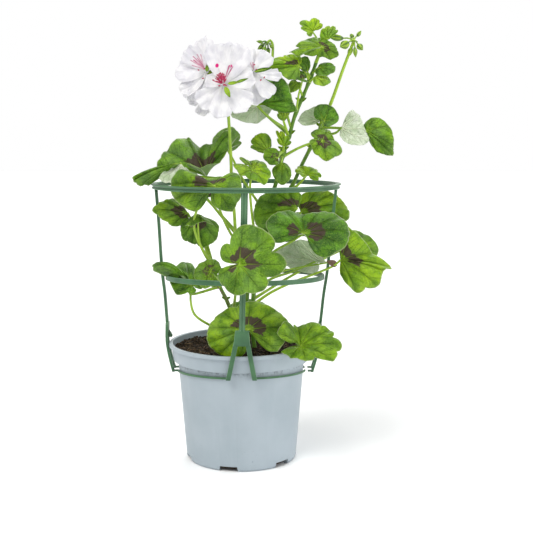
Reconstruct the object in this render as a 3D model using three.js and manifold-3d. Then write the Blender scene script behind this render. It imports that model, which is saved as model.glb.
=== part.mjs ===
// Potted ivy geranium in a ring support. Millimetres, +Z up.
// The origin is the centre of the pot's underside, +X is the right and -Y the front.
import * as THREE from 'three';
import { mergeVertices } from 'three/addons/utils/BufferGeometryUtils.js';
import Module from 'manifold-3d';

const wasm = await Module();
wasm.setup();

// Driving dimensions
const GAP = 0.35;
const TURN = Math.PI * 2;

const POT = {
  height: 97.9, lipRadius: 60, lipHeight: 3, bandTop: 58.2, bandBottom: 56.4, bandZ: 83.8,
  wallTop: 52.7, wallBottom: 46.1, wall: 1.1, floor: 1.4, toe: 1.4, toeHeight: 1.6, segments: 36,
};
const POCKET = {
  count: 6, first: -72, bottomWidth: 16, topWidth: 14.4, height: 4.3, depth: 9, holeWidth: 7, holeDepth: 3,
};
const SOIL = { top: 92.6, bump: 1.2, rings: [42, 22], holeBottom: 72 };

const SUPPORT = {
  lean: 0.0195, segments: 36, ringTopZ: 230.2, ringTopRadius: 77.7,
  middleZ: 152.9, middleRadius: 65.7, middleTilt: 3.2, middleHeight: 4, middleThick: 1.7, middleShift: 3.4,
  arcZ: 74.3, arcRadius: 54.05, arcTilt: 5.2, arcThick: 1.1, arcHeight: 1.7, arcShift: 0.4, arcSteps: 9,
  barWidth: 4.6, barThick: 2.3, legWidth: 3.8, blockZ: [114.3, 102.6], blockWidth: [10.7, 13],
  legTopZ: 105, legTopSpread: 4.5, footZ: 74, toeReach: 54.2,
};

const BLADE = 0.8;
const PETAL = 0.65;

// Colours and finishes
const paint = (color, roughness) => new THREE.MeshStandardMaterial({ color, roughness, metalness: 0 });
const potPlastic = paint(0xafbbc6, 0.55);
const supportPlastic = paint(0x4a734c, 0.5);
const peat = paint(0x3c3226, 0.95);
const leafGreen = paint(0x5f9420, 0.6);
const petalWhite = paint(0xf2f0f3, 0.6);

// Solids
function signedVolume(position, index) {
  const a = new THREE.Vector3();
  const b = new THREE.Vector3();
  const c = new THREE.Vector3();
  let sum = 0;
  for (let i = 0; i < index.length; i += 3) {
    a.fromArray(position, index[i] * 3);
    b.fromArray(position, index[i + 1] * 3);
    c.fromArray(position, index[i + 2] * 3);
    sum += a.dot(b.cross(c));
  }
  return sum / 6;
}

function solid(geometry) {
  const bare = geometry.clone();
  bare.deleteAttribute('normal');
  bare.deleteAttribute('uv');
  const merged = mergeVertices(bare, 1e-4);
  const vertProperties = new Float32Array(merged.attributes.position.array);
  const index = Array.from(merged.index.array);
  const triVerts = [];
  const outward = signedVolume(vertProperties, index) > 0;
  for (let i = 0; i < index.length; i += 3) {
    const [a, b, c] = index.slice(i, i + 3);
    if (a === b || b === c || a === c) continue;
    triVerts.push(...(outward ? [a, b, c] : [a, c, b]));
  }
  const mesh = new wasm.Mesh({ numProp: 3, vertProperties, triVerts: new Uint32Array(triVerts) });
  return new wasm.Manifold(mesh);
}

function fuse(geometries) {
  return geometries.map(solid).reduce((whole, piece) => whole.add(piece));
}

function node(name, shape, material) {
  const { vertProperties, triVerts } = shape.getMesh();
  const geometry = new THREE.BufferGeometry();
  geometry.setAttribute('position', new THREE.Float32BufferAttribute(vertProperties, 3));
  geometry.setIndex(Array.from(triVerts));
  const mesh = new THREE.Mesh(geometry, material);
  mesh.name = name;
  return mesh;
}

function geometryOf(points, triangles) {
  const geometry = new THREE.BufferGeometry();
  const position = points.flatMap((p) => [p.x, p.y, p.z]);
  geometry.setAttribute('position', new THREE.Float32BufferAttribute(position, 3));
  geometry.setIndex(triangles.flat());
  return geometry;
}

// A body of revolution about +Z from a closed profile of [radius, height] corners.
function revolve(profile, segments) {
  const corners = profile.map(([r, z]) => new THREE.Vector2(r, z));
  const first = corners[0];
  const last = corners[corners.length - 1];
  if (first.x > 0 || last.x > 0) corners.push(first.clone());
  return new THREE.LatheGeometry(corners, segments).rotateX(Math.PI / 2);
}

// A closed strip through rings of corners. The caps are the triangles that close a ring.
function strip(points, sides, caps) {
  const triangles = [];
  const end = points.length - sides;
  for (let start = 0; start < end; start += sides) {
    for (let j = 0; j < sides; j += 1) {
      const a = start + j;
      const b = start + ((j + 1) % sides);
      triangles.push([a, b, b + sides], [a, b + sides, a + sides]);
    }
  }
  for (const [a, b, c] of caps) triangles.push([a, c, b], [end + a, end + b, end + c]);
  return geometryOf(points, triangles);
}

// The caps of a ring whose corners make a convex outline.
const roundCaps = (sides) => Array.from({ length: sides - 2 }, (_, j) => [0, j + 1, j + 2]);

const point = (p) => new THREE.Vector3(p[0], p[1], p[2]);

// Stems and stalks
// A round stalk through the given points, tapering from its first radius to its last.
function stalk(points, startRadius, endRadius, sides, steps) {
  const curve = new THREE.CatmullRomCurve3(points, false, 'centripetal');
  const frames = curve.computeFrenetFrames(steps, false);
  const rings = [];
  for (let i = 0; i <= steps; i += 1) {
    const centre = curve.getPointAt(i / steps);
    const radius = startRadius + (endRadius - startRadius) * (i / steps);
    for (let j = 0; j < sides; j += 1) {
      const angle = (j / sides) * TURN;
      const offset = frames.normals[i].clone().multiplyScalar(Math.cos(angle) * radius);
      offset.addScaledVector(frames.binormals[i], Math.sin(angle) * radius);
      rings.push(centre.clone().add(offset));
    }
  }
  return strip(rings, sides, roundCaps(sides));
}

// A pointed scale from one point to another, such as a sepal or a stipule.
function scale(from, to, width, thickness, facing) {
  const along = to.clone().sub(from).normalize();
  const side = new THREE.Vector3().crossVectors(along, facing).normalize().multiplyScalar(width / 2);
  const out = new THREE.Vector3().crossVectors(side, along).normalize().multiplyScalar(thickness / 2);
  const middle = from.clone().lerp(to, 0.42);
  const ring = [side, out, side.clone().negate(), out.clone().negate()];
  const points = [from, to, ...ring.map((offset) => middle.clone().add(offset))];
  const triangles = [];
  for (let j = 0; j < 4; j += 1) {
    const a = 2 + j;
    const b = 2 + ((j + 1) % 4);
    triangles.push([0, b, a], [1, a, b]);
  }
  return geometryOf(points, triangles);
}

// A pointed bud from its foot to its tip: how far along each ring is, and how wide.
const BUD_RINGS = [[0, 0.5], [0.4, 1], [1, 0.14]];
const BUD_SIDES = 4;

function bud(from, to, radius) {
  const along = to.clone().sub(from);
  const across = new THREE.Vector3(0.31, 0.77, 0.55).cross(along).normalize();
  const other = along.clone().normalize().cross(across);
  const points = [];
  for (const [height, swell] of BUD_RINGS) {
    for (let j = 0; j < BUD_SIDES; j += 1) {
      const angle = (j / BUD_SIDES) * TURN;
      const p = from.clone().addScaledVector(along, height);
      p.addScaledVector(across, Math.cos(angle) * swell * radius);
      points.push(p.addScaledVector(other, Math.sin(angle) * swell * radius));
    }
  }
  return strip(points, BUD_SIDES, roundCaps(BUD_SIDES));
}

// Blades
// A thin closed sheet that fans out from one point: pointAt(reach, column) gives its middle surface.
// Its inner ring has a point for every `stride` columns of the edge.
function fan(pointAt, columns, stride, innerReach, thickness) {
  const inner = columns / stride;
  const middle = [pointAt(0, 0)];
  for (let i = 0; i <= inner; i += 1) middle.push(pointAt(innerReach, i * stride));
  const edge = middle.length;
  for (let j = 0; j <= columns; j += 1) middle.push(pointAt(1, j));
  const faces = [];
  for (let i = 1; i <= inner; i += 1) {
    faces.push([0, i, i + 1]);
    const turn = Math.ceil(stride / 2);
    for (let j = 0; j < stride; j += 1) {
      const outer = edge + (i - 1) * stride + j;
      if (j === turn) faces.push([i, outer, i + 1]);
      faces.push([j < turn ? i : i + 1, outer, outer + 1]);
    }
  }
  const normals = middle.map(() => new THREE.Vector3());
  for (const [a, b, c] of faces) {
    const normal = middle[b].clone().sub(middle[a]).cross(middle[c].clone().sub(middle[a]));
    for (const corner of [a, b, c]) normals[corner].add(normal);
  }
  normals.forEach((normal) => normal.normalize().multiplyScalar(thickness / 2));
  const under = middle.length;
  const points = [
    ...middle.map((p, i) => p.clone().add(normals[i])),
    ...middle.map((p, i) => p.clone().sub(normals[i])),
  ];
  const triangles = [...faces, ...faces.map(([a, b, c]) => [under + a, under + c, under + b])];
  const wall = (a, b) => triangles.push([b, a, under + a], [b, under + a, under + b]);
  for (let j = 0; j < columns; j += 1) wall(edge + j, edge + j + 1);
  wall(0, 1);
  wall(1, edge);
  wall(edge + columns, edge - 1);
  wall(edge - 1, 0);
  return geometryOf(points, triangles);
}

// Leaves: each lobe is a rib from the leaf's foot, and the edge dips between two ribs.
const NOTCH = 0.13;
const PLEAT = 0.05;
const SHOULDER = 0.3;
const GROWTH = 1.04;
const INNER_REACH = 0.55;

function leafFacing(lobes) {
  const facing = new THREE.Vector3();
  for (let i = 0; i < lobes.length - 1; i += 1) {
    facing.add(new THREE.Vector3().crossVectors(lobes[i], lobes[i + 1]));
  }
  return facing.normalize();
}

function leafBlade(leaf) {
  const foot = point(leaf.at);
  const lobes = leaf.lobes.map(point);
  const facing = leafFacing(lobes);
  const arch = leaf.arch ?? 0.12;
  const count = lobes.length;
  const perLobe = leaf.perLobe ?? 2;
  const columns = count * perLobe;
  const rib = (i) => lobes[Math.min(Math.max(i, 0), count - 1)];
  const notch = (gap) => (Array.isArray(leaf.notch) ? leaf.notch[gap] : leaf.notch ?? 1);
  const pointAt = (reach, column) => {
    const q = column / perLobe - 0.5;
    const low = Math.min(Math.max(Math.floor(q), 0), count - 2);
    const share = q - low;
    const a = rib(low);
    const b = rib(low + 1);
    const direction = a.clone().normalize().lerp(b.clone().normalize(), share).normalize();
    const outside = Math.max(0, -q, q - (count - 1));
    const between = Math.abs(q - Math.round(q)) * 2;
    const length = a.length() + (b.length() - a.length()) * Math.min(Math.max(share, 0), 1);
    const dip = outside > 0 ? SHOULDER * outside * 2 : NOTCH * notch(low) * between * between;
    const span = GROWTH * length * (1 - dip);
    const bulge = arch * 4 * reach * (1 - reach) + (outside > 0 ? 0 : PLEAT * between * reach);
    return foot.clone().addScaledVector(direction, span * reach).addScaledVector(facing, bulge * length);
  };
  return fan(pointAt, columns, perLobe, INNER_REACH, BLADE);
}

const STALK = 1.05;
const STALK_SIDES = 4;

function nearestOn(stems, target) {
  const near = new THREE.Vector3();
  let best = null;
  for (const stem of stems) {
    for (let i = 0; i < stem.length - 1; i += 1) {
      new THREE.Line3(stem[i], stem[i + 1]).closestPointToPoint(target, true, near);
      if (!best || near.distanceTo(target) < best.distanceTo(target)) best = near.clone();
    }
  }
  return best;
}

// The leaf's stalk starts on the middle line of the nearest stem.
function leafStalk(leaf, stems) {
  const points = [...leaf.stalk.map(point), point(leaf.at)];
  points[0] = nearestOn(stems, points[0]);
  const run = points.slice(1).reduce((sum, p, i) => sum + p.distanceTo(points[i]), 0);
  const radius = leaf.thin ?? STALK;
  return stalk(points, radius * 1.15, radius * 0.85, STALK_SIDES, Math.max(2, Math.round(1 + run / 22)));
}

const leafParts = (stems) => (leaf) => [leafStalk(leaf, stems), leafBlade(leaf)];

// Pot
function potOuter() {
  const p = POT;
  return [
    [p.wallBottom - p.toe, 0], [p.wallBottom, p.toeHeight], [p.wallTop, p.bandZ], [p.bandBottom, p.bandZ],
    [p.bandTop, p.height - p.lipHeight], [p.lipRadius, p.height - p.lipHeight], [p.lipRadius, p.height],
  ];
}

function potInner(inset) {
  const p = POT;
  const skin = p.wall + inset;
  return [
    [p.bandTop - skin, p.height], [p.bandTop - skin, p.height - p.lipHeight],
    [p.bandBottom - skin, p.bandZ + p.wall + inset], [p.wallTop - skin, p.bandZ + p.wall + inset],
    [p.wallBottom - skin, p.floor + 0.8 + inset], [p.wallBottom - skin - 1, p.floor + inset],
  ];
}

// A drain pocket points along its own azimuth and is open below and outwards.
function pocketBlock(grow, inner, outer) {
  const half = (width) => width / 2 + grow;
  const section = new THREE.Shape([
    new THREE.Vector2(-half(POCKET.bottomWidth), -1), new THREE.Vector2(half(POCKET.bottomWidth), -1),
    new THREE.Vector2(half(POCKET.topWidth), POCKET.height + grow),
    new THREE.Vector2(-half(POCKET.topWidth), POCKET.height + grow),
  ]);
  const block = new THREE.ExtrudeGeometry(section, { depth: outer - inner, bevelEnabled: false });
  return block.rotateX(Math.PI / 2).rotateZ(Math.PI).translate(0, inner, 0).rotateZ(-Math.PI / 2);
}

const pocketTurns = Array.from({ length: POCKET.count }, (_, i) => {
  return THREE.MathUtils.degToRad(POCKET.first + (i * 360) / POCKET.count - 90);
});

const pocketInner = POT.wallBottom - POCKET.depth;

function makePot() {
  const filled = solid(revolve([[0, 0], ...potOuter(), [0, POT.height]], POT.segments));
  let pot = solid(revolve([[0, 0], ...potOuter(), ...potInner(0), [0, POT.floor]], POT.segments));
  for (const turn of pocketTurns) {
    const casing = solid(pocketBlock(POT.wall, pocketInner - POT.wall, POT.wallBottom + 4).rotateZ(turn));
    pot = pot.add(casing.intersect(filled));
  }
  for (const turn of pocketTurns) {
    pot = pot.subtract(solid(pocketBlock(0, pocketInner, POT.wallBottom + 5).rotateZ(turn)));
    const drain = new THREE.BoxGeometry(POCKET.holeDepth, POCKET.holeWidth, 6);
    drain.translate(pocketInner + POCKET.depth / 2, 0, POCKET.height + 1).rotateZ(turn);
    pot = pot.subtract(solid(drain));
  }
  return node('pot', pot, potPlastic);
}

// Soil, with a plain hole for each shoot
const HOLES = { left: [-2, -2, 2.1], tall: [5, 6, 2.5], right: [11, -6, 2.1] };

function soilHeight(x, y) {
  const lumps = Math.sin(x * 0.33 + 1.1) * Math.cos(y * 0.29 - 0.4) + 0.6 * Math.sin(x * 0.13 - y * 0.21);
  return SOIL.bump * lumps;
}

function makeSoil() {
  const [, , bandFoot, wallHead, , foot] = potInner(GAP);
  const edge = bandFoot[0] + 0.5;
  const rings = SOIL.rings.map((r) => [r, SOIL.top]);
  const profile = [[0, foot[1]], foot, wallHead, bandFoot, [edge, SOIL.top], ...rings, [0, SOIL.top]];
  const geometry = revolve(profile, POT.segments);
  const position = geometry.attributes.position;
  for (let i = 0; i < position.count; i += 1) {
    const x = position.getX(i);
    const y = position.getY(i);
    const inside = Math.hypot(x, y) < 46;
    if (inside && position.getZ(i) > SOIL.top - 0.5) position.setZ(i, SOIL.top + soilHeight(x, y));
  }
  let soil = solid(geometry);
  for (const turn of pocketTurns) {
    const clear = POT.wall + GAP;
    soil = soil.subtract(solid(pocketBlock(clear, pocketInner - clear, POT.wallBottom + 4).rotateZ(turn)));
  }
  for (const [x, y, radius] of Object.values(HOLES)) {
    const height = POT.height - SOIL.holeBottom;
    const hole = new THREE.CylinderGeometry(radius + GAP, radius + GAP, height, 12).rotateX(Math.PI / 2);
    soil = soil.subtract(solid(hole.translate(x, y, SOIL.holeBottom + height / 2)));
  }
  return node('soil', soil, peat);
}

// Support rings
function ringBody(profile, tiltDegrees) {
  const ring = revolve(profile, SUPPORT.segments);
  return ring.rotateX(THREE.MathUtils.degToRad(-tiltDegrees));
}

function makeTopRing() {
  const r = SUPPORT.ringTopRadius;
  const profile = [
    [r - 4.5, 0], [r, 0], [r, -1.2], [r - 1.6, -1.2], [r - 1.6, -2.8],
    [r - 0.9, -2.8], [r - 0.9, -4], [r - 3.2, -4], [r - 3.2, -1.2], [r - 4.5, -1.2],
  ];
  const ring = ringBody(profile, 0).translate(SUPPORT.lean * SUPPORT.ringTopZ, 0, SUPPORT.ringTopZ);
  return node('ring_top', solid(ring), supportPlastic);
}

function bandProfile(radius, thickness, height) {
  const inner = radius - thickness;
  return [[inner, -height / 2], [radius, -height / 2], [radius, height / 2], [inner, height / 2]];
}

function makeMiddleRing() {
  const s = SUPPORT;
  const ring = ringBody(bandProfile(s.middleRadius, s.middleThick, s.middleHeight), s.middleTilt);
  return node('ring_middle', solid(ring.translate(s.middleShift, 0, s.middleZ)), supportPlastic);
}

// Four short arcs run round under the pot's band from one upright's foot to the next.
const ARCS = {
  clamp_front_right: [-80, -9.5], clamp_back_right: [9.5, 80],
  clamp_back_left: [100, 170.5], clamp_front_left: [-170.5, -100],
};

function makeClampArcs() {
  const s = SUPPORT;
  return Object.entries(ARCS).map(([name, ends]) => {
    const [from, to] = ends.map(THREE.MathUtils.degToRad);
    const path = Array.from({ length: s.arcSteps + 1 }, (_, i) => from + ((to - from) * i) / s.arcSteps);
    const rise = Math.tan(THREE.MathUtils.degToRad(s.arcTilt));
    const points = path.flatMap((angle) => {
      return bandProfile(s.arcRadius, s.arcThick, s.arcHeight).map(([r, z]) => {
        const y = r * Math.sin(angle);
        return new THREE.Vector3(s.arcShift + r * Math.cos(angle), y, s.arcZ + z - rise * y);
      });
    });
    return node(name, solid(strip(points, 4, [[0, 1, 2], [0, 2, 3]])), supportPlastic);
  });
}

// Uprights: each is a bar on a path of [radius, height], then a block and two spreading legs.
const barPath = [[73.85, 225.85], [71.6, 200], [68.4, 157], [66.1, 139], [64.6, 122], [63.75, 112]];
const legPath = [[63.7, SUPPORT.legTopZ], [63.7, 99.5], [62.9, 94], [60.8, 84.5], [57.9, SUPPORT.footZ]];

// A flat bar along a path of [radius, height], with a half width and a sideways offset at each point.
function flatBar(path, halfWidths, offsets, thickness) {
  const points = path.flatMap(([radius, height], i) => {
    const w = halfWidths[i];
    const t = thickness / 2;
    const corners = [[-w, -t], [w, -t], [w, t], [-w, t]];
    return corners.map(([across, out]) => new THREE.Vector3(radius + out, across + offsets[i], height));
  });
  return strip(points, 4, [[0, 1, 2], [0, 2, 3]]);
}

// The long bar has a shallow groove down its outer face.
function groovedBar(path) {
  const w = SUPPORT.barWidth / 2;
  const t = SUPPORT.barThick / 2;
  const lip = w * 0.56;
  const bed = t - 0.45;
  const groove = [[lip, t], [lip - 0.3, bed], [0.3 - lip, bed], [-lip, t]];
  const section = [[-w, -t], [w, -t], [w, t], ...groove, [-w, t]];
  const points = path.flatMap(([radius, height]) => {
    return section.map(([across, out]) => new THREE.Vector3(radius + out, across, height));
  });
  return strip(points, 8, [[0, 1, 5], [1, 4, 5], [1, 2, 4], [2, 3, 4], [0, 5, 7], [5, 6, 7]]);
}

// One upright, drawn towards +X: the bar, its block, two legs with toes, a stop and a clip.
function uprightParts({ lift, spread }) {
  const s = SUPPORT;
  const raise = (path) => path.map(([r, z]) => [r, z + lift]);
  const leg = s.legWidth / 2;
  const blockPath = s.blockZ.map((z) => [63.75, z]);
  const parts = [
    groovedBar([...barPath.slice(0, 2), ...raise(barPath.slice(2))]),
    flatBar(raise(blockPath), s.blockWidth.map((w) => w / 2), [0, 0], s.barThick + 0.24),
  ];
  const widths = legPath.map(() => leg);
  const splayPerHeight = (spread - s.legTopSpread) / (s.legTopZ - s.footZ);
  for (const side of [-1, 1]) {
    const splay = (z) => side * (s.legTopSpread + splayPerHeight * (s.legTopZ - z));
    const offsets = legPath.map(([, z]) => splay(z));
    parts.push(flatBar(raise(legPath), widths, offsets, s.barThick - 0.2));
    const footRadius = legPath[legPath.length - 1][0];
    const toe = new THREE.BoxGeometry(footRadius - s.toeReach, leg * 1.6, 1.2);
    parts.push(toe.translate((footRadius + s.toeReach) / 2, splay(s.footZ), s.footZ + 0.65 + lift));
  }
  const clip = new THREE.BoxGeometry(1.3, s.barWidth, 6);
  parts.push(clip.translate(73.2, 0, s.ringTopZ - 4.6), stopWedge().translate(0, 0, lift));
  return parts;
}

// The stop reaches inwards over the pot's lip.
function stopWedge() {
  const corners = [[63.6, 108.6], [62.6, 108.3], [59.6, 103.4], [59.6, 102.1], [63.6, 102.1]];
  const side = new THREE.Shape(corners.map(([r, z]) => new THREE.Vector2(r, z)));
  const wedge = new THREE.ExtrudeGeometry(side, { depth: 4.4, bevelEnabled: false });
  return wedge.translate(0, 0, -2.2).rotateX(Math.PI / 2);
}

const UPRIGHTS = {
  upright_front: { azimuth: -90, lift: 5.2, spread: 10.35 },
  upright_right: { azimuth: -1, lift: -0.2, spread: 6.6 },
  upright_back: { azimuth: 91.5, lift: -3.8, spread: 10.35 },
  upright_left: { azimuth: 180, lift: -0.2, spread: 6.6 },
};

function makeUprights() {
  const lean = new THREE.Matrix4().makeShear(0, 0, 0, 0, SUPPORT.lean, 0);
  return Object.entries(UPRIGHTS).map(([name, upright]) => {
    const turn = THREE.MathUtils.degToRad(upright.azimuth);
    const parts = uprightParts(upright).map((part) => part.rotateZ(turn).applyMatrix4(lean));
    return node(name, fuse(parts), supportPlastic);
  });
}

// Leaves, in whole millimetres: the foot, the stalk from the stem, and the tip of each lobe
// measured from the foot, in order round the leaf with its upper face towards the reader.
// Notch is how deep the edge dips between two lobes, where 1 is the common depth: one number for
// the leaf, or one for each gap.
const tallLeaves = [
  { at: [-27, -14, 236], stalk: [[6, 3, 165], [-6, -4, 185], [-15, -14, 205], [-20, -15, 221]],
    notch: [0.2, 0.2, 0.2, 0.6, 0.4, 0.2, 0.2, 0.2, 0.2],
    lobes: [[-14, -17, 10], [-4, -19, 7], [11, -13, 11], [17, 0, 20], [18, 5, 34], [4, 13, 25],
      [-7, 23, 22], [-17, 21, 29], [-32, 12, 19], [-39, 4, 6]] },
  { at: [-47, -24, 247], stalk: [[9, 5, 172], [-10, 2, 195], [-26, -4, 216], [-40, -16, 234]], notch: 0.2,
    lobes: [[-10, 2, -3], [-19, 4, -5], [-33, 6, -9], [-37, 5, -14], [-31, 2, -18], [-25, 1, -17]] },
  { at: [-47, -24, 247], stalk: [[-40, -16, 234], [-46, -22, 240]], notch: 0.2,
    lobes: [[8, -10, -9], [2, -15, -14], [-7, -15, -14], [-16, -8, -11]] },
  { at: [-11, 8, 257], stalk: [[19, 5, 206], [2, 8, 232], [-6, 9, 248]], notch: [0.2, 0.2, 0.2, 1.4, 0.2],
    lobes: [[-12, -2, 6], [-4, 2, 16], [4, 4, 18], [10, 5, 12], [11, 6, 5], [6, 8, 0]] },
  { at: [10, -30, 241], stalk: [[12, 4, 183], [9, -8, 208], [8, -20, 228]],
    notch: [0.8, 0.6, 0.8, 0.8, 0.9, 0.8, 1.2],
    lobes: [[-15, 2, 5], [-9, -6, -3], [-2, -10, -6], [9, -10, -10], [14, 0, -4], [6, 12, 7], [-3, 14, 7],
      [-10, 10, 10]] },
  { at: [58, -4, 351], stalk: [[64, -2, 337], [62, -3, 345]], thin: 0.7, notch: [1.6, 2.4, 2.4, 2.4],
    lobes: [[8, 2, 5], [4, 4, 10], [-10, 1, 7], [-9, -3, 2], [-3, -5, -4]] },
  { at: [69, -6, 344], stalk: [[65, -2, 338]], thin: 0.7, notch: [0.3, 1.2, 1.3, 0.8, 0.2],
    lobes: [[5, 0, 3], [9, 2, 7], [6, 3, 11], [1, 2, 11], [-4, 0, 8], [-5, -2, 2]] },
  { at: [65, -12, 338], stalk: [[61, -2, 327], [64, -7, 334]],
    notch: [0.2, 0.2, 2.4, 0.2, 0.2, 0.7, 0.2, 0.2, 0.2, 0.2],
    lobes: [[-25, -5, -4], [-19, -8, -8], [-13, -6, -6], [0, 2, -7], [7, 3, -9], [13, 1, -6], [11, 0, 0],
      [6, 5, 5], [-3, 8, 8], [-12, 5, 6], [-20, 0, 1]] },
  { at: [47, -14, 323], stalk: [[56, -2, 313], [51, -8, 320]], notch: [0.2, 1.1, 0.2, 0.2, 0.2, 0.2],
    lobes: [[1, 5, 8], [-9, 5, 9], [-19, 3, 6], [-27, 0, 0], [-18, -1, -3], [-8, -2, -10],
      [-1, 0, -10]] },
  { at: [15, -18, 292], stalk: [[39, -2, 268], [36, -6, 274], [26, -14, 281], [18, -18, 288]],
    notch: [0.2, 0.2, 0.2, 0.2, 0.6],
    lobes: [[30, -2, -4], [26, 2, 4], [22, 7, 17], [16, 12, 22], [6, 13, 23], [2, 12, 14]] },
  { at: [14, -6, 292], stalk: [[35, -2, 271], [22, -6, 284]], notch: 0.2,
    lobes: [[12, 1, 0], [7, 4, -8], [0, 4, -13], [-11, 3, -12], [-20, 2, -8], [-21, 0, -1]] },
  { at: [54, -8, 319], stalk: [[57, -2, 315]], thin: 0.8, notch: 0.3,
    lobes: [[2, 2, 7], [-1, 2, 12], [-6, 0, 10], [-6, -4, 3]] },
  { at: [62, -8, 322], stalk: [[58, -2, 318]], thin: 0.8, notch: 0.2,
    lobes: [[-1, -4, -5], [7, -4, -6], [13, -2, -3], [13, 1, 2], [4, 3, 4]] },
  { at: [60, -10, 315], stalk: [[55, -2, 311]], thin: 0.8, notch: 0.2,
    lobes: [[-1, -3, -5], [7, -2, -7], [12, 1, -3], [3, 3, 2]] },
  { at: [50, -12, 313], stalk: [[45, -2, 287], [47, -8, 301], [49, -11, 309]], thin: 0.8, notch: 0.4,
    lobes: [[3, 4, 3], [-4, 2, 7], [-5, -4, 0], [4, -2, -2]] },
  { at: [46, -6, 311], stalk: [[50, -2, 300]], thin: 0.8, notch: 0.3,
    lobes: [[-4, 4, 2], [-7, 2, -3], [-5, -2, -8], [3, -2, -1]] },
  { at: [66, 2, 283], stalk: [[64, 9, 272]], notch: 0.4,
    lobes: [[-7, -6, -5], [-18, -6, -3], [-15, 2, 4], [-4, 8, 9], [3, 8, 5]] },
  { at: [68, -4, 280], stalk: [[65, 8, 273]], notch: 0.4,
    lobes: [[1, -4, -4], [11, -2, 1], [5, 2, 12], [-6, 4, 12], [-8, 0, 4]] },
  { at: [66, -8, 264], stalk: [[36, 0, 251], [48, -4, 259], [59, -6, 263]], notch: 0.6,
    lobes: [[-10, -2, 0], [-7, -4, -8], [3, -10, -15], [15, -6, -9], [10, 4, 1], [5, 10, 9],
      [-8, 8, 7]] },
  { at: [82, 0, 275], stalk: [[66, 9, 274], [72, 4, 270], [78, 2, 271]], notch: [0.1, 0.1, 0.4, 0.2, 0.1],
    lobes: [[9, 1, 14], [14, 0, 10], [18, -3, 0], [21, -7, -10], [9, -8, -13], [0, -5, -8]] },
  { at: [103, 4, 272], stalk: [[80, 6, 270], [92, 8, 274]], notch: 0.2,
    lobes: [[4, -2, -11], [8, -4, -16], [20, -6, -19], [21, -4, -12], [18, 2, 4], [7, 6, 11],
      [-1, 6, 6]] },
  { at: [22, -10, 256], stalk: [[36, -2, 256], [28, -6, 254]], notch: [0.2, 0.2, 0.2, 1.5, 0.3],
    lobes: [[3, 4, 6], [0, 4, 13], [-8, 2, 13], [-13, 0, 8], [-13, -3, 3], [-5, -4, -1]] },
  { at: [33, -14, 247], stalk: [[35, -2, 252]], notch: 0.2,
    lobes: [[-7, -2, -7], [0, -4, -17], [7, -2, -12], [6, 4, -3]] },
  { at: [30, -20, 251], stalk: [[35, -2, 256], [32, -10, 254]], notch: 0.4,
    lobes: [[0, 2, 6], [-10, -2, 6], [-11, -4, 0], [-6, -4, -5], [0, -2, -5]] },
  { at: [54, 6, 236], stalk: [[40, 14, 222], [46, 10, 227], [51, 7, 232]], notch: 1.2,
    lobes: [[9, -6, -4], [12, -2, -1], [7, 6, 5], [-5, 6, 7], [-9, -4, 3], [-3, -8, -1]] },
  { at: [35, -8, 280], stalk: [[40, -2, 267], [37, -6, 274]], notch: 2,
    lobes: [[5, 2, 8], [3, 2, 11], [-1, 0, 10], [-5, 0, 11], [-5, -2, 4]] },
  { at: [35, -8, 260], stalk: [[35, -2, 254]], notch: 2,
    lobes: [[6, 2, 3], [4, 2, 8], [-2, -2, 12], [-6, -2, 12], [-5, -4, 4]] },
];

const leftLeaves = [
  { at: [-18, -64, 231], stalk: [[-23, -18, 163], [-29, -26, 176], [-36, -32, 196], [-32, -44, 214]],
    notch: [0.2, 0.2, 0.2, 0.2, 0.2, 0.2, 0.1, 0.2, 0.2],
    lobes: [[-1, -1, -14], [12, 3, -19], [19, 7, -8], [17, 13, 8], [5, 18, 6], [-10, 17, 4],
      [-24, 20, 11], [-34, 23, -1], [-31, 19, -11], [-16, 6, -19]] },
  { at: [-43, -8, 206], stalk: [[-24, -17, 165], [-31, -12, 184], [-39, -8, 199]], notch: 0.5,
    lobes: [[-12, 6, 11], [-20, 6, 9], [-28, 2, 2], [-20, -2, -5], [-12, -4, -10], [-1, -4, -9]] },
  { at: [-35, -18, 205], stalk: [[-22, -16, 160], [-27, -12, 180], [-32, -12, 194]],
    notch: [0.2, 0.3, 0.6, 0.2, 0.2],
    lobes: [[-13, 4, -9], [-11, 2, -19], [-4, 0, -22], [5, -2, -25], [15, 2, -19], [17, 6, -9]] },
  { at: [-33, -34, 207], stalk: [[-23, -22, 168], [-32, -28, 184]], thin: 0.8, notch: 0.5,
    lobes: [[-10, 4, -9], [-5, -2, -9], [4, -6, -5], [12, -2, -8]] },
  { at: [-40, -22, 148],
    stalk: [[-6, -4, 121], [-15, -14, 110], [-24, -20, 115], [-37, -24, 125], [-40, -24, 135]],
    notch: [0.2, 0.2, 0.2, 0.2, 0.2, 2.4],
    lobes: [[9, 2, -2], [4, 19, 8], [-6, 25, 15], [-17, 14, 7], [-16, 2, 1], [-11, -4, -6],
      [4, -5, -4]] },
  { at: [-40, -22, 148], stalk: [[-40, -24, 135], [-41, -23, 142]], arch: 0.38, notch: 0.2,
    lobes: [[-18, 12, 15], [-27, 11, 16], [-31, 10, 14], [-30, 8, 11]] },
  { at: [-23, -34, 161], stalk: [[-19, -14, 152], [-21, -22, 156]], notch: 0.6,
    lobes: [[7, 0, 0], [4, 8, 8], [-6, 10, 7], [-13, 0, -1], [-5, -10, -11], [5, -8, -10]] },
  { at: [1, -82, 174], stalk: [[-7, -6, 122], [-4, -30, 140], [-3, -58, 157], [-3, -74, 170]], perLobe: 3,
    notch: [0.4, 0.8, 2.1, 1.9, 0.1, 2.3],
    lobes: [[-16, 6, -10], [-4, -2, -22], [16, -5, -19], [34, 2, -1], [23, 5, 20], [3, 2, 28],
      [-14, 6, 6]] },
];

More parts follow.
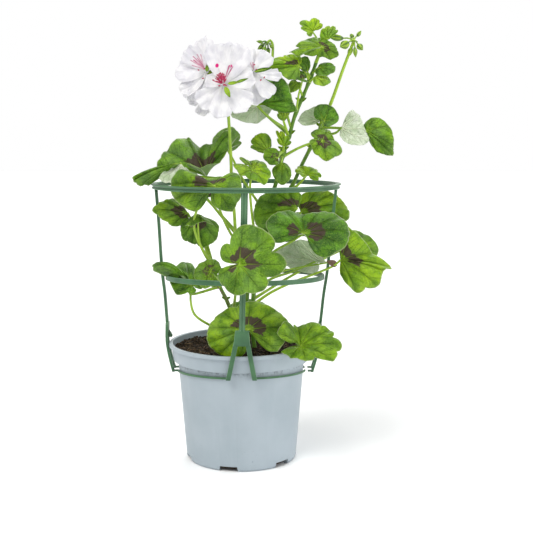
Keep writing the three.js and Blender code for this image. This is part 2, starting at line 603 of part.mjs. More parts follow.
// Leaves on the far side.
const backLeaves = [
  { at: [50, 40, 182], stalk: [[10, 4, 160], [30, 26, 170]],
    lobes: [[18, 8, -2], [15, 18, 11], [-3, 20, 18], [-17, 14, 8], [-14, 6, -4]] },
  { at: [8, 34, 112], stalk: [[4, 5, 100], [5, 20, 104]],
    lobes: [[16, 6, 0], [12, 14, 8], [-4, 16, 12], [-20, 12, 6], [-16, 6, -3]] },
  { at: [-31, 30, 216], stalk: [[6, 4, 174], [-11, 18, 196]],
    lobes: [[16, 8, -1], [12, 16, 7], [-4, 18, 10], [-17, 12, 6], [-13, 6, -3]] },
];

const rightLeaves = [
  { at: [46, -10, 210], stalk: [[13, -7, 168], [24, -8, 187], [38, -9, 201]], notch: 0.2,
    lobes: [[3, 6, 11], [-8, 6, 15], [-20, 6, 14], [-31, 5, 6], [-34, 2, -7], [-27, -2, -21],
      [-16, -5, -25]] },
  { at: [50, 12, 205], stalk: [[13, -6, 164], [22, 4, 180], [36, 12, 195]], notch: 0.2,
    lobes: [[15, -6, -12], [38, -4, -5], [35, 1, 7], [26, 4, 15], [14, 6, 17], [-1, 6, 12]] },
  { at: [50, -46, 193], stalk: [[12, -9, 154], [17, -20, 167], [28, -32, 178], [40, -42, 186]],
    notch: [0.2, 0.2, 0.2, 0.2, 0.4, 0.2, 0.2, 0.4],
    lobes: [[16, -2, -18], [32, 4, -10], [35, 8, 1], [27, 12, 12], [12, 13, 15], [-1, 13, 13],
      [-14, 12, 16], [-28, 6, 8], [-24, -4, -5]] },
  { at: [62, 8, 164], stalk: [[11, -6, 140], [24, 0, 150], [43, 6, 156]], notch: 0.2,
    lobes: [[3, -2, -5], [-12, 0, -8], [-25, 4, -2], [-33, 8, 7], [-25, 10, 12], [-12, 10, 17]] },
  { at: [71, -6, 165], stalk: [[12, -7, 150], [37, -2, 158]], thin: 0.8, notch: 0.2,
    lobes: [[-14, -5, 4], [-22, -6, 13], [-22, -4, 19], [-14, 0, 17], [-6, 2, 7]] },
  { at: [81, -20, 169],
    stalk: [[10, -7, 130], [24, -8, 140], [41, -12, 149], [66, -20, 160], [76, -22, 165]],
    notch: [0.2, 0.9, 0.2, 0.2, 0.2, 0.2, 0.2],
    lobes: [[1, -6, -13], [12, -12, -24], [28, -12, -19], [33, -6, -8], [40, 4, -7], [25, 4, 5],
      [9, 8, 23], [-1, 10, 32]] },
  { at: [91, 10, 177], stalk: [[11, -5, 135], [41, 10, 151], [74, 14, 168]], notch: 0.2,
    lobes: [[2, -4, -13], [23, 2, -6], [12, 8, 9], [3, 10, 12]] },
  { at: [7, -46, 117], stalk: [[10, -7, 112], [9, -20, 118], [8, -32, 120]],
    notch: [0.2, 0.2, 0.2, 1.2, 0.2, 0.2, 0.2, 0.2],
    lobes: [[22, -4, -16], [32, 2, 1], [21, 11, 13], [2, 16, 19], [-21, 12, 11], [-31, 10, -1],
      [-31, 8, -13], [-22, 4, -21], [-6, -2, -21]] },
  { at: [48, -50, 104], stalk: [[11, -6, 108], [24, -20, 112], [40, -40, 110]],
    notch: [0.2, 0.2, 2.1, 0.7, 1.1, 0.8, 0.2, 2.4, 0.2],
    lobes: [[-15, -6, -3], [-8, -12, -6], [3, -18, -7], [24, -13, -8], [31, -3, 1], [23, 8, 11],
      [11, 13, 16], [-2, 13, 13], [-13, -5, 20], [-18, -10, 13]] },
];

// Shoots
function buried(name) {
  const [x, y] = HOLES[name];
  return [new THREE.Vector3(x, y, SOIL.holeBottom + GAP), new THREE.Vector3(x, y, SOIL.top + 1)];
}

const leftPath = [[-3, -2, 101], [-5, -4, 115], [-8, -6, 124], [-12, -9, 135], [-17, -12, 146],
  [-21, -16, 159], [-24, -18, 168]];
const rightPath = [[10, -7, 105], [10, -7, 130], [12, -8, 155], [14, -7, 172]];
const tallPath = [[5, 6, 98], [4, 5, 108], [4, 4, 119], [5, 4, 141], [7, 4, 162], [12, 4, 183], [20, 4, 206],
  [27, 2, 224], [32, 0, 241], [35, -2, 257], [40, -2, 270], [44, -2, 284], [49, -2, 296], [54, -2, 308],
  [59, -2, 321], [63, -2, 333], [65, -2, 340]];
const branchStem = [[17, 5, 198], [29, 12, 210], [42, 16, 226], [50, 16, 243], [58, 14, 259],
  [64, 10, 270]];
const BUD_HEAD = [92, 5, 345];
const budStalk = [[64, 10, 270], [66, 8, 276], [75, 6, 298], [83, 5, 321], [89, 5, 337], BUD_HEAD];
const UMBEL = [-10, -24, 302];
const flowerStalk = [[6, 4, 159], [-3, -6, 183], [-5, -14, 208], [-7, -18, 232], [-7, -20, 245],
  [-8, -22, 269], [-9, -24, 287], UMBEL];
const NODDING_HEAD = [22, -8, 342];
const noddingStalk = [[41, -2, 275], [34, -4, 297], [27, -7, 316], [26, -8, 328], [26, -8, 341],
  [24, -8, 344], NODDING_HEAD];

// Buds hang round the head of their stalk: the tip of each bud from that point, and its radius.
const budHeads = [
  { at: BUD_HEAD, buds: [[-22, -6, 3, 2.6], [-12, -10, -6, 3.4], [6, 2, 8, 1.6], [-4, 6, -13, 2],
    [7, -3, -8, 2.6], [1, -6, -14, 1.8], [-2, 8, 6, 1.8]] },
  { at: NODDING_HEAD, buds: [[-9, -3, 1, 1.3], [-8, 2, -5, 1.7], [-4, -4, -8, 1.8], [1, 3, -9, 1.6],
    [5, -2, -5, 1.3], [-6, 5, -2, 1.5]] },
];

const BUD_FOOT = 0.42;

function budHead({ at, buds }) {
  const centre = point(at);
  return buds.flatMap(([x, y, z, radius]) => {
    const tip = centre.clone().add(new THREE.Vector3(x, y, z));
    const foot = centre.clone().lerp(tip, BUD_FOOT);
    const bend = centre.clone().lerp(tip, BUD_FOOT / 2).add(new THREE.Vector3(0, 0, 1));
    const sunk = foot.clone().lerp(tip, 0.1);
    return [stalk([centre, bend, sunk], 0.8, 0.7, STALK_SIDES, 2), bud(foot, tip, radius)];
  });
}

// Florets: the middle of the throat, the way the floret faces, and for each petal the tip
// measured from the throat and half the angle it opens to.
const florets = [
  { name: 'floret_front', at: [-12, -44, 308], facing: [0.05, -0.98, 0.18],
    petals: [[-5, 2, 31, 29], [14, 2, 30, 29], [24, 3, 7, 29], [20, -2, -19, 29], [-3, -2, -26, 27],
      [-20, 2, -16, 27], [-14, 4, 4, 32]] },
  { name: 'floret_left', at: [-25, -34, 318], facing: [-0.5, -0.8, 0.3],
    petals: [[-3, 6, 27, 22], [-17, 8, 18, 26], [-25, 10, 1, 26], [-21, 7, -15, 26], [-12, 2, -21, 24],
      [9, 2, 14, 26]] },
  { name: 'floret_right', at: [12, -34, 318], facing: [0.5, -0.8, 0.3],
    petals: [[-4, 6, 19, 28], [12, 8, 14, 28], [21, 8, -3, 18], [14, 3, -19, 27], [2, 0, -25, 30]] },
  { name: 'floret_low', at: [-26, -24, 304], facing: [-0.55, -0.75, -0.35],
    petals: [[-21, 6, 2, 27], [-15, 3, -9, 26], [-4, -2, -20, 26]] },
  { name: 'floret_back', at: [-7, -8, 318], facing: [0.1, 0.75, 0.65],
    petals: [[3, -8, 17, 30], [20, 2, 8, 30], [13, 10, -12, 30], [-12, 10, -12, 30], [-18, 2, 8, 30]] },
];

function floretFrame(floret) {
  const facing = point(floret.facing).normalize();
  const right = new THREE.Vector3(0, 0, 1).cross(facing).normalize();
  return { centre: point(floret.at), facing, right, up: facing.clone().cross(right) };
}

const THROAT = 2.2;
const PETAL_COLUMNS = 6;
const PETAL_CUP = 0.42;
const PETAL_WAVE = 0.03;

// A petal is narrow at the throat, widest past its middle and rounded at the tip.
function petalBlade(frame, [x, y, z, halfAngle], order) {
  const along = new THREE.Vector3(x, y, z);
  const length = along.length();
  along.normalize();
  const side = frame.facing.clone().cross(along).normalize();
  const lifted = along.clone().cross(side).normalize();
  const pointAt = (reach, column) => {
    const u = (column / PETAL_COLUMNS) * 2 - 1;
    const angle = THREE.MathUtils.degToRad(halfAngle * u * (1.35 - 0.45 * reach));
    const span = length * reach * (1 - 0.13 * u * u);
    const cup = PETAL_CUP * reach * (1 - reach) + PETAL_WAVE * reach * Math.sin(u * 5 + order * 2);
    return frame.centre.clone().addScaledVector(along, Math.cos(angle) * span)
      .addScaledVector(side, Math.sin(angle) * span).addScaledVector(lifted, -cup * length);
  };
  return fan(pointAt, PETAL_COLUMNS, 2, INNER_REACH, PETAL);
}

function corolla(floret) {
  const frame = floretFrame(floret);
  const throat = new THREE.OctahedronGeometry(THROAT).translate(...frame.centre.toArray());
  const petals = floret.petals.map((petal, order) => petalBlade(frame, petal, order));
  return node(floret.name, fuse([throat, ...petals]), petalWhite);
}

// The calyx behind each floret is a small star of five sepals on its own stalk.
const CALYX = { sepals: 5, reach: 8, dip: 2.6, gap: 1, thick: 0.7, boss: 0.5, sag: 1.6, neck: 6, turn: 0.3 };

function calyx(floret) {
  const frame = floretFrame(floret);
  const forward = (from, distance) => from.clone().addScaledVector(frame.facing, distance);
  const seat = forward(frame.centre, -THROAT - GAP - CALYX.gap);
  const points = [forward(seat, CALYX.boss), forward(seat, -CALYX.thick)];
  const corners = CALYX.sepals * 2;
  for (let k = 0; k < corners; k += 1) {
    const angle = (k / corners) * TURN + CALYX.turn;
    const reach = k % 2 ? CALYX.dip : CALYX.reach;
    const rim = forward(seat, k % 2 ? 0 : -CALYX.sag).addScaledVector(frame.right, Math.cos(angle) * reach);
    rim.addScaledVector(frame.up, Math.sin(angle) * reach);
    points.push(rim, forward(rim, -CALYX.thick));
  }
  const triangles = [];
  for (let k = 0; k < corners; k += 1) {
    const a = 2 + 2 * k;
    const b = 2 + 2 * ((k + 1) % corners);
    triangles.push([0, a, b], [1, b + 1, a + 1], [a, a + 1, b], [b, a + 1, b + 1]);
  }
  const neck = stalk([point(UMBEL), forward(seat, -CALYX.neck), seat], 0.8, 0.9, STALK_SIDES, 3);
  return [neck, geometryOf(points, triangles)];
}

// Stipules: pairs of small pointed scales at the joints of the tall stem.
const joints = [[12, 4, 183], [35, -2, 257], [40, -2, 270], [49, -2, 296], [58, 14, 259], [66, 8, 276]];

function stipules(at) {
  const foot = point(at);
  return [-1, 1].map((side) => {
    const tip = foot.clone().add(new THREE.Vector3(5 * side, -3.5, 3.5));
    return scale(foot, tip, 3.4, 1.1, new THREE.Vector3(0, -1, 0.4));
  });
}

const stemFrom = (name, path) => [...buried(name), ...path.map(point)];
const leftStem = stemFrom('left', leftPath);
const rightStem = stemFrom('right', rightPath);
const mainStem = stemFrom('tall', tallPath);
const sideStems = [branchStem, budStalk, flowerStalk, noddingStalk].map((path) => path.map(point));

function leftShoot() {
  return [stalk(leftStem, 2, 1.4, 6, 12), ...leftLeaves.flatMap(leafParts([leftStem]))];
}

function rightShoot() {
  return [stalk(rightStem, 2, 1.4, 6, 8), ...rightLeaves.flatMap(leafParts([rightStem]))];
}

function tallShoot() {
  const [branch, buds, flower, nodding] = sideStems;
  return [
    stalk(mainStem, 2.4, 1.2, 6, 20), stalk(branch, 1.7, 1.5, 5, 8), stalk(buds, 1.5, 1.2, 5, 5),
    stalk(flower, 1.4, 1.2, 5, 8), stalk(nodding, 1.1, 1, 4, 8),
    new THREE.OctahedronGeometry(2.2).translate(...UMBEL),
    ...budHeads.flatMap(budHead), ...florets.flatMap(calyx), ...joints.flatMap(stipules),
    ...[...tallLeaves, ...backLeaves].flatMap(leafParts([mainStem, ...sideStems])),
  ];
}

// The whole object
const group = new THREE.Group();
group.add(makePot(), makeSoil(), makeTopRing(), makeMiddleRing(), ...makeClampArcs(), ...makeUprights());
group.add(node('shoot_left', fuse(leftShoot()), leafGreen));
group.add(node('shoot_right', fuse(rightShoot()), leafGreen));
group.add(node('shoot_tall', fuse(tallShoot()), leafGreen));
group.add(...florets.map(corolla));

export default group;
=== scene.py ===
"""The looks of a potted ivy geranium in a ring support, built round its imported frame.

Tables and shapes are in millimetres, as in the part's source. Meshes go to Blender in metres.
"""
import math
from collections import namedtuple
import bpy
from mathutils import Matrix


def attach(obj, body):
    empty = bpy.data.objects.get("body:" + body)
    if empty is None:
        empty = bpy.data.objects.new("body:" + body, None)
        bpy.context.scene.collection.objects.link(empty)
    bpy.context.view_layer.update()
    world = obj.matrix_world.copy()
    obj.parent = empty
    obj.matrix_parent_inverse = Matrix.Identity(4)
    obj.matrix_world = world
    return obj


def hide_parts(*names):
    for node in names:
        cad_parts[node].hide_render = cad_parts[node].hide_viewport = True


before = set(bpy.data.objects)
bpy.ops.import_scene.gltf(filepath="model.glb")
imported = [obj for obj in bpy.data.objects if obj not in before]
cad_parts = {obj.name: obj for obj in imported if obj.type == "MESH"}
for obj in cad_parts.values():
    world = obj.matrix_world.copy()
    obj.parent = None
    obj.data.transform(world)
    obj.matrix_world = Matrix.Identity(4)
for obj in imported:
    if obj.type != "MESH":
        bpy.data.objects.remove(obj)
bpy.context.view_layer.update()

from types import SimpleNamespace as Sizes

import bpy
import numpy as np

MM = 0.001
TURN = math.tau

# Sizes shared with the part
LEAN = 0.0195
POT = Sizes(
    height=97.9, lip_radius=60, lip_height=3, band_top=58.2, band_bottom=56.4, band_z=83.8,
    wall_top=52.7, wall_bottom=46.1, wall=1.1, floor=1.4, toe=1.4, toe_height=1.6, segments=144,
)
POCKET = Sizes(count=6, first=-72, bottom=16, top=14.4, height=4.3, depth=9, hole_width=7, hole_depth=3)
SOIL = Sizes(top=92.6, bump=1.2, radius=56.1, bottom=1.9, rings=64, segments=180)
HOLES = dict(left=(-2, -2), tall=(5, 6), right=(11, -6))
HOLE_BOTTOM = 72.4

# A leaf, in whole millimetres: its foot, the points of its stalk from the stem on, and the tip of each lobe
# measured from the foot, in order round the leaf. Tone runs from 0, old, to 1, young, and below 0.4 a lower
# tone also gives a paler underside, which is partly painted light. Zone says how strong the brown zone is,
# for the whole leaf or for each lobe. Notch is how deep the edge dips between two lobes, with one number
# for all gaps or one for each, and arch is how far the blade bulges.
Leaf = namedtuple("Leaf", "at tone stalk lobes zone notch arch stalk_radius", defaults=(0, 0.2, 0.12, 1.05))

TALL_LEAVES = [
    Leaf([-27, -14, 236], 0.35, [[6, 3, 165], [-6, -4, 185], [-15, -14, 205], [-20, -15, 221]],
         [[-14, -17, 10], [-4, -19, 7], [11, -13, 11], [17, 0, 20], [18, 5, 34], [4, 13, 25], [-7, 23, 22],
          [-17, 21, 29], [-32, 12, 19], [-39, 4, 6]], zone=[0, 0, 0, 0.3, 0.95, 0.9, 0.95, 1, 0.6, 0.1],
         notch=[0.2, 0.2, 0.2, 0.6, 0.4, 0.2, 0.2, 0.2, 0.2]),
    Leaf([-47, -24, 247], 0.35, [[9, 5, 172], [-10, 2, 195], [-26, -4, 216], [-40, -16, 234]],
         [[-10, 2, -3], [-19, 4, -5], [-33, 6, -9], [-37, 5, -14], [-31, 2, -18], [-25, 1, -17]]),
    Leaf([-47, -24, 247], 0.1, [[-40, -16, 234], [-46, -22, 240]],
         [[8, -10, -9], [2, -15, -14], [-7, -15, -14], [-16, -8, -11]]),
    Leaf([-11, 8, 257], 0.45, [[19, 5, 206], [2, 8, 232], [-6, 9, 248]],
         [[-12, -2, 6], [-4, 2, 16], [4, 4, 18], [10, 5, 12], [11, 6, 5], [6, 8, 0]],
         notch=[0.2, 0.2, 0.2, 1.4, 0.2]),
    Leaf([10, -30, 241], 0.72, [[12, 4, 183], [9, -8, 208], [8, -20, 228]],
         [[-15, 2, 5], [-9, -6, -3], [-2, -10, -6], [9, -10, -10], [14, 0, -4], [6, 12, 7], [-3, 14, 7],
          [-10, 10, 10]], zone=0.45, notch=[0.8, 0.6, 0.8, 0.8, 0.9, 0.8, 1.2]),
    Leaf([58, -4, 351], 0.92, [[64, -2, 337], [62, -3, 345]],
         [[8, 2, 5], [4, 4, 10], [-10, 1, 7], [-9, -3, 2], [-3, -5, -4]], zone=0.2,
         notch=[1.6, 2.4, 2.4, 2.4], stalk_radius=0.7),
    Leaf([69, -6, 344], 1, [[65, -2, 338]],
         [[5, 0, 3], [9, 2, 7], [6, 3, 11], [1, 2, 11], [-4, 0, 8], [-5, -2, 2]],
         notch=[0.3, 1.2, 1.3, 0.8, 0.2], stalk_radius=0.7),
    Leaf([65, -12, 338], 0.5, [[61, -2, 327], [64, -7, 334]],
         [[-25, -5, -4], [-19, -8, -8], [-13, -6, -6], [0, 2, -7], [7, 3, -9], [13, 1, -6], [11, 0, 0],
          [6, 5, 5], [-3, 8, 8], [-12, 5, 6], [-20, 0, 1]],
         zone=[0, 0, 0, 0.2, 0.6, 0.9, 1, 1, 0.9, 0.1, 0],
         notch=[0.2, 0.2, 2.4, 0.2, 0.2, 0.7, 0.2, 0.2, 0.2, 0.2]),
    Leaf([47, -14, 323], 0.8, [[56, -2, 313], [51, -8, 320]],
         [[1, 5, 8], [-9, 5, 9], [-19, 3, 6], [-27, 0, 0], [-18, -1, -3], [-8, -2, -10], [-1, 0, -10]],
         zone=[0.1, 0.9, 0.8, 0.4, 0, 0, 0], notch=[0.2, 1.1, 0.2, 0.2, 0.2, 0.2]),
    Leaf([15, -18, 292], 0.1, [[39, -2, 268], [36, -6, 274], [26, -14, 281], [18, -18, 288]],
         [[30, -2, -4], [26, 2, 4], [22, 7, 17], [16, 12, 22], [6, 13, 23], [2, 12, 14]],
         notch=[0.2, 0.2, 0.2, 0.2, 0.6]),
    Leaf([14, -6, 292], 0.1, [[35, -2, 271], [22, -6, 284]],
         [[12, 1, 0], [7, 4, -8], [0, 4, -13], [-11, 3, -12], [-20, 2, -8], [-21, 0, -1]]),
    Leaf([54, -8, 319], 0.3, [[57, -2, 315]],
         [[2, 2, 7], [-1, 2, 12], [-6, 0, 10], [-6, -4, 3]], notch=0.3, stalk_radius=0.8),
    Leaf([62, -8, 322], 0.3, [[58, -2, 318]],
         [[-1, -4, -5], [7, -4, -6], [13, -2, -3], [13, 1, 2], [4, 3, 4]], stalk_radius=0.8),
    Leaf([60, -10, 315], 0.85, [[55, -2, 311]],
         [[-1, -3, -5], [7, -2, -7], [12, 1, -3], [3, 3, 2]], stalk_radius=0.8),
    Leaf([50, -12, 313], 0.35, [[45, -2, 287], [47, -8, 301], [49, -11, 309]],
         [[3, 4, 3], [-4, 2, 7], [-5, -4, 0], [4, -2, -2]], zone=0.9, notch=0.4, stalk_radius=0.8),
    Leaf([46, -6, 311], 0.6, [[50, -2, 300]],
         [[-4, 4, 2], [-7, 2, -3], [-5, -2, -8], [3, -2, -1]], notch=0.3, stalk_radius=0.8),
    Leaf([66, 2, 283], 0.2, [[64, 9, 272]],
         [[-7, -6, -5], [-18, -6, -3], [-15, 2, 4], [-4, 8, 9], [3, 8, 5]], notch=0.4),
    Leaf([68, -4, 280], 0.2, [[65, 8, 273]],
         [[1, -4, -4], [11, -2, 1], [5, 2, 12], [-6, 4, 12], [-8, 0, 4]], notch=0.4),
    Leaf([66, -8, 264], 0.5, [[36, 0, 251], [48, -4, 259], [59, -6, 263]],
         [[-10, -2, 0], [-7, -4, -8], [3, -10, -15], [15, -6, -9], [10, 4, 1], [5, 10, 9], [-8, 8, 7]],
         zone=0.95, notch=0.6),
    Leaf([82, 0, 275], 0, [[66, 9, 274], [72, 4, 270], [78, 2, 271]],
         [[9, 1, 14], [14, 0, 10], [18, -3, 0], [21, -7, -10], [9, -8, -13], [0, -5, -8]],
         notch=[0.1, 0.1, 0.4, 0.2, 0.1]),
    Leaf([103, 4, 272], 0.38, [[80, 6, 270], [92, 8, 274]],
         [[4, -2, -11], [8, -4, -16], [20, -6, -19], [21, -4, -12], [18, 2, 4], [7, 6, 11], [-1, 6, 6]]),
    Leaf([22, -10, 256], 0.62, [[36, -2, 256], [28, -6, 254]],
         [[3, 4, 6], [0, 4, 13], [-8, 2, 13], [-13, 0, 8], [-13, -3, 3], [-5, -4, -1]],
         notch=[0.2, 0.2, 0.2, 1.5, 0.3]),
    Leaf([33, -14, 247], 0.45, [[35, -2, 252]],
         [[-7, -2, -7], [0, -4, -17], [7, -2, -12], [6, 4, -3]]),
    Leaf([30, -20, 251], 0.45, [[35, -2, 256], [32, -10, 254]],
         [[0, 2, 6], [-10, -2, 6], [-11, -4, 0], [-6, -4, -5], [0, -2, -5]], zone=0.5, notch=0.4),
    Leaf([54, 6, 236], 0.95, [[40, 14, 222], [46, 10, 227], [51, 7, 232]],
         [[9, -6, -4], [12, -2, -1], [7, 6, 5], [-5, 6, 7], [-9, -4, 3], [-3, -8, -1]], notch=1.2),
    Leaf([35, -8, 280], 0.85, [[40, -2, 267], [37, -6, 274]],
         [[5, 2, 8], [3, 2, 11], [-1, 0, 10], [-5, 0, 11], [-5, -2, 4]], notch=2),
    Leaf([35, -8, 260], 0.88, [[35, -2, 254]],
         [[6, 2, 3], [4, 2, 8], [-2, -2, 12], [-6, -2, 12], [-5, -4, 4]], notch=2),
]

LEFT_LEAVES = [
    Leaf([-18, -64, 231], 0.42, [[-23, -18, 163], [-29, -26, 176], [-36, -32, 196], [-32, -44, 214]],
         [[-1, -1, -14], [12, 3, -19], [19, 7, -8], [17, 13, 8], [5, 18, 6], [-10, 17, 4], [-24, 20, 11],
          [-34, 23, -1], [-31, 19, -11], [-16, 6, -19]], zone=[0.3, 0.3, 0.3, 0.6, 1, 1, 1, 0.9, 0.3, 0.2],
         notch=[0.2, 0.2, 0.2, 0.2, 0.2, 0.2, 0.1, 0.2, 0.2]),
    Leaf([-43, -8, 206], 0.5, [[-24, -17, 165], [-31, -12, 184], [-39, -8, 199]],
         [[-12, 6, 11], [-20, 6, 9], [-28, 2, 2], [-20, -2, -5], [-12, -4, -10], [-1, -4, -9]], zone=0.85,
         notch=0.5),
    Leaf([-35, -18, 205], 0.32, [[-22, -16, 160], [-27, -12, 180], [-32, -12, 194]],
         [[-13, 4, -9], [-11, 2, -19], [-4, 0, -22], [5, -2, -25], [15, 2, -19], [17, 6, -9]], zone=0.6,
         notch=[0.2, 0.3, 0.6, 0.2, 0.2]),
    Leaf([-33, -34, 207], 0.45, [[-23, -22, 168], [-32, -28, 184]],
         [[-10, 4, -9], [-5, -2, -9], [4, -6, -5], [12, -2, -8]], notch=0.5, stalk_radius=0.8),
    Leaf([-40, -22, 148], 0.3, [[-6, -4, 121], [-15, -14, 110], [-24, -20, 115], [-37, -24, 125],
         [-40, -24, 135]],
         [[9, 2, -2], [4, 19, 8], [-6, 25, 15], [-17, 14, 7], [-16, 2, 1], [-11, -4, -6], [4, -5, -4]],
         zone=0.3, notch=[0.2, 0.2, 0.2, 0.2, 0.2, 2.4]),
    Leaf([-40, -22, 148], 0.28, [[-40, -24, 135], [-41, -23, 142]],
         [[-18, 12, 15], [-27, 11, 16], [-31, 10, 14], [-30, 8, 11]], arch=0.38),
    Leaf([-23, -34, 161], 0.45, [[-19, -14, 152], [-21, -22, 156]],
         [[7, 0, 0], [4, 8, 8], [-6, 10, 7], [-13, 0, -1], [-5, -10, -11], [5, -8, -10]], zone=0.5,
         notch=0.6),
    Leaf([1, -82, 174], 0.4, [[-7, -6, 122], [-4, -30, 140], [-3, -58, 157], [-3, -74, 170]],
         [[-16, 6, -10], [-4, -2, -22], [16, -5, -19], [34, 2, -1], [23, 5, 20], [3, 2, 28], [-14, 6, 6]],
         zone=[0.95, 0.1, 0.1, 0.95, 1, 1, 1], notch=[0.4, 0.8, 2.1, 1.9, 0.1, 2.3]),
]

BACK_LEAVES = [
    Leaf([50, 40, 182], 0.3, [[10, 4, 160], [30, 26, 170]],
         [[18, 8, -2], [15, 18, 11], [-3, 20, 18], [-17, 14, 8], [-14, 6, -4]], zone=0.8, notch=1),
    Leaf([8, 34, 112], 0.3, [[4, 5, 100], [5, 20, 104]],
         [[16, 6, 0], [12, 14, 8], [-4, 16, 12], [-20, 12, 6], [-16, 6, -3]], zone=0.8, notch=1),
    Leaf([-31, 30, 216], 0.35, [[6, 4, 174], [-11, 18, 196]],
         [[16, 8, -1], [12, 16, 7], [-4, 18, 10], [-17, 12, 6], [-13, 6, -3]], zone=0.8, notch=1),
]

RIGHT_LEAVES = [
    Leaf([46, -10, 210], 0.42, [[13, -7, 168], [24, -8, 187], [38, -9, 201]],
         [[3, 6, 11], [-8, 6, 15], [-20, 6, 14], [-31, 5, 6], [-34, 2, -7], [-27, -2, -21], [-16, -5, -25]],
         zone=[0.7, 0.9, 0.95, 0.6, 0.2, 0, 0]),
    Leaf([50, 12, 205], 0.62, [[13, -6, 164], [22, 4, 180], [36, 12, 195]],
         [[15, -6, -12], [38, -4, -5], [35, 1, 7], [26, 4, 15], [14, 6, 17], [-1, 6, 12]], zone=0.6),
    Leaf([50, -46, 193], 0.12, [[12, -9, 154], [17, -20, 167], [28, -32, 178], [40, -42, 186]],
         [[16, -2, -18], [32, 4, -10], [35, 8, 1], [27, 12, 12], [12, 13, 15], [-1, 13, 13], [-14, 12, 16],
          [-28, 6, 8], [-24, -4, -5]], zone=[0.3, 0.95, 1, 0.9, 0.5, 0.4, 0.2, 0.9, 1],
         notch=[0.2, 0.2, 0.2, 0.2, 0.4, 0.2, 0.2, 0.4]),
    Leaf([62, 8, 164], 0, [[11, -6, 140], [24, 0, 150], [43, 6, 156]],
         [[3, -2, -5], [-12, 0, -8], [-25, 4, -2], [-33, 8, 7], [-25, 10, 12], [-12, 10, 17]]),
    Leaf([71, -6, 165], 0.2, [[12, -7, 150], [37, -2, 158]],
         [[-14, -5, 4], [-22, -6, 13], [-22, -4, 19], [-14, 0, 17], [-6, 2, 7]], stalk_radius=0.8),
    Leaf([81, -20, 169], 0.64, [[10, -7, 130], [24, -8, 140], [41, -12, 149], [66, -20, 160],
         [76, -22, 165]],
         [[1, -6, -13], [12, -12, -24], [28, -12, -19], [33, -6, -8], [40, 4, -7], [25, 4, 5], [9, 8, 23],
          [-1, 10, 32]], zone=[0, 0.3, 0.2, 0.95, 0.9, 1, 0.9, 0.3],
         notch=[0.2, 0.9, 0.2, 0.2, 0.2, 0.2, 0.2]),
    Leaf([91, 10, 177], 0.5, [[11, -5, 135], [41, 10, 151], [74, 14, 168]],
         [[2, -4, -13], [23, 2, -6], [12, 8, 9], [3, 10, 12]]),
    Leaf([7, -46, 117], 0.54, [[10, -7, 112], [9, -20, 118], [8, -32, 120]],
         [[22, -4, -16], [32, 2, 1], [21, 11, 13], [2, 16, 19], [-21, 12, 11], [-31, 10, -1], [-31, 8, -13],
          [-22, 4, -21], [-6, -2, -21]], zone=[0.3, 1, 1, 0.9, 1, 0.4, 0, 0, 0],
         notch=[0.2, 0.2, 0.2, 1.2, 0.2, 0.2, 0.2, 0.2]),
    Leaf([48, -50, 104], 0.5, [[11, -6, 108], [24, -20, 112], [40, -40, 110]],
         [[-15, -6, -3], [-8, -12, -6], [3, -18, -7], [24, -13, -8], [31, -3, 1], [23, 8, 11], [11, 13, 16],
          [-2, 13, 13], [-13, -5, 20], [-18, -10, 13]],
         notch=[0.2, 0.2, 2.1, 0.7, 1.1, 0.8, 0.2, 2.4, 0.2]),
]

# A floret: the middle of its throat, the way it faces, for each petal the tip measured from the throat and
# half the angle it opens to, and its anthers to the right, up and forward of the throat.
Floret = namedtuple("Floret", "at facing petals anthers")
FLORETS = dict(
    front=Floret(
        [-12, -44, 308], [0.05, -0.98, 0.18],
        [[-5, 2, 31, 29], [14, 2, 30, 29], [24, 3, 7, 29], [20, -2, -19, 29], [-3, -2, -26, 27],
         [-20, 2, -16, 27], [-14, 4, 4, 32]],
        [[-4.1, 6.3, 2.2], [-2.1, 7.4, 2.6], [-0.3, 6.7, 3], [1.8, 5.3, 2.4], [-3, 3.3, 3.4],
         [-0.3, 2.6, 3.8], [-7.4, 2.3, 2], [-3, -2.1, 3]],
    ),
    left=Floret(
        [-25, -34, 318], [-0.5, -0.8, 0.3],
        [[-3, 6, 27, 22], [-17, 8, 18, 26], [-25, 10, 1, 26], [-21, 7, -15, 26], [-12, 2, -21, 24],
         [9, 2, 14, 26]],
        [[-0.6, 1.2, 2.6], [-1.6, -6, 1.2], [-6.6, 0.6, 2]],
    ),
    right=Floret(
        [12, -34, 318], [0.5, -0.8, 0.3],
        [[-4, 6, 19, 28], [12, 8, 14, 28], [21, 8, -3, 18], [14, 3, -19, 27], [2, 0, -25, 30]],
        [[0.3, 0.6, 2.4], [-0.4, 4.8, 1.6], [3.4, -7.4, 1.4], [7, -5.2, 1.4]],
    ),
    low=Floret(
        [-26, -24, 304], [-0.55, -0.75, -0.35],
        [[-21, 6, 2, 27], [-15, 3, -9, 26], [-4, -2, -20, 26]],
        [[0.4, -1.2, 2.2]],
    ),
    back=Floret(
        [-7, -8, 318], [0.1, 0.75, 0.65],
        [[3, -8, 17, 30], [20, 2, 8, 30], [13, 10, -12, 30], [-12, 10, -12, 30], [-18, 2, 8, 30]],
        [[-1.4, 2, 2.8], [1.6, 2.4, 2.6], [0.2, 4, 3]],
    ),
)
# The crimson arms of the front floret's style, to the right, up and forward of its throat
STYLE_ARMS = [
    [-7.6, 2.2, 1.6], [-5.8, 3.6, 2.4], [-5.2, 5, 2.2], [-4.4, 6.4, 2.8], [-3.2, 7.2, 2.4], [-2, 8, 2.8],
    [-0.6, 7.8, 2.6], [0.8, 7, 2.4], [1.8, 5.4, 2.2], [2.4, 3.4, 2], [-2.6, 4, 3.2], [-0.6, 4.6, 3.4],
    [-5.6, 1.2, 1.8], [0.6, -1.6, 1.6], [2.8, -2, 1.4],
]
# The petals that bear strokes or spots, each with the number that their material knows it by
MARKS = {("front", 0): 1, ("front", 1): 2, ("left", 1): 3, ("left", 0): 4, ("right", 0): 5, ("back", 0): 3}
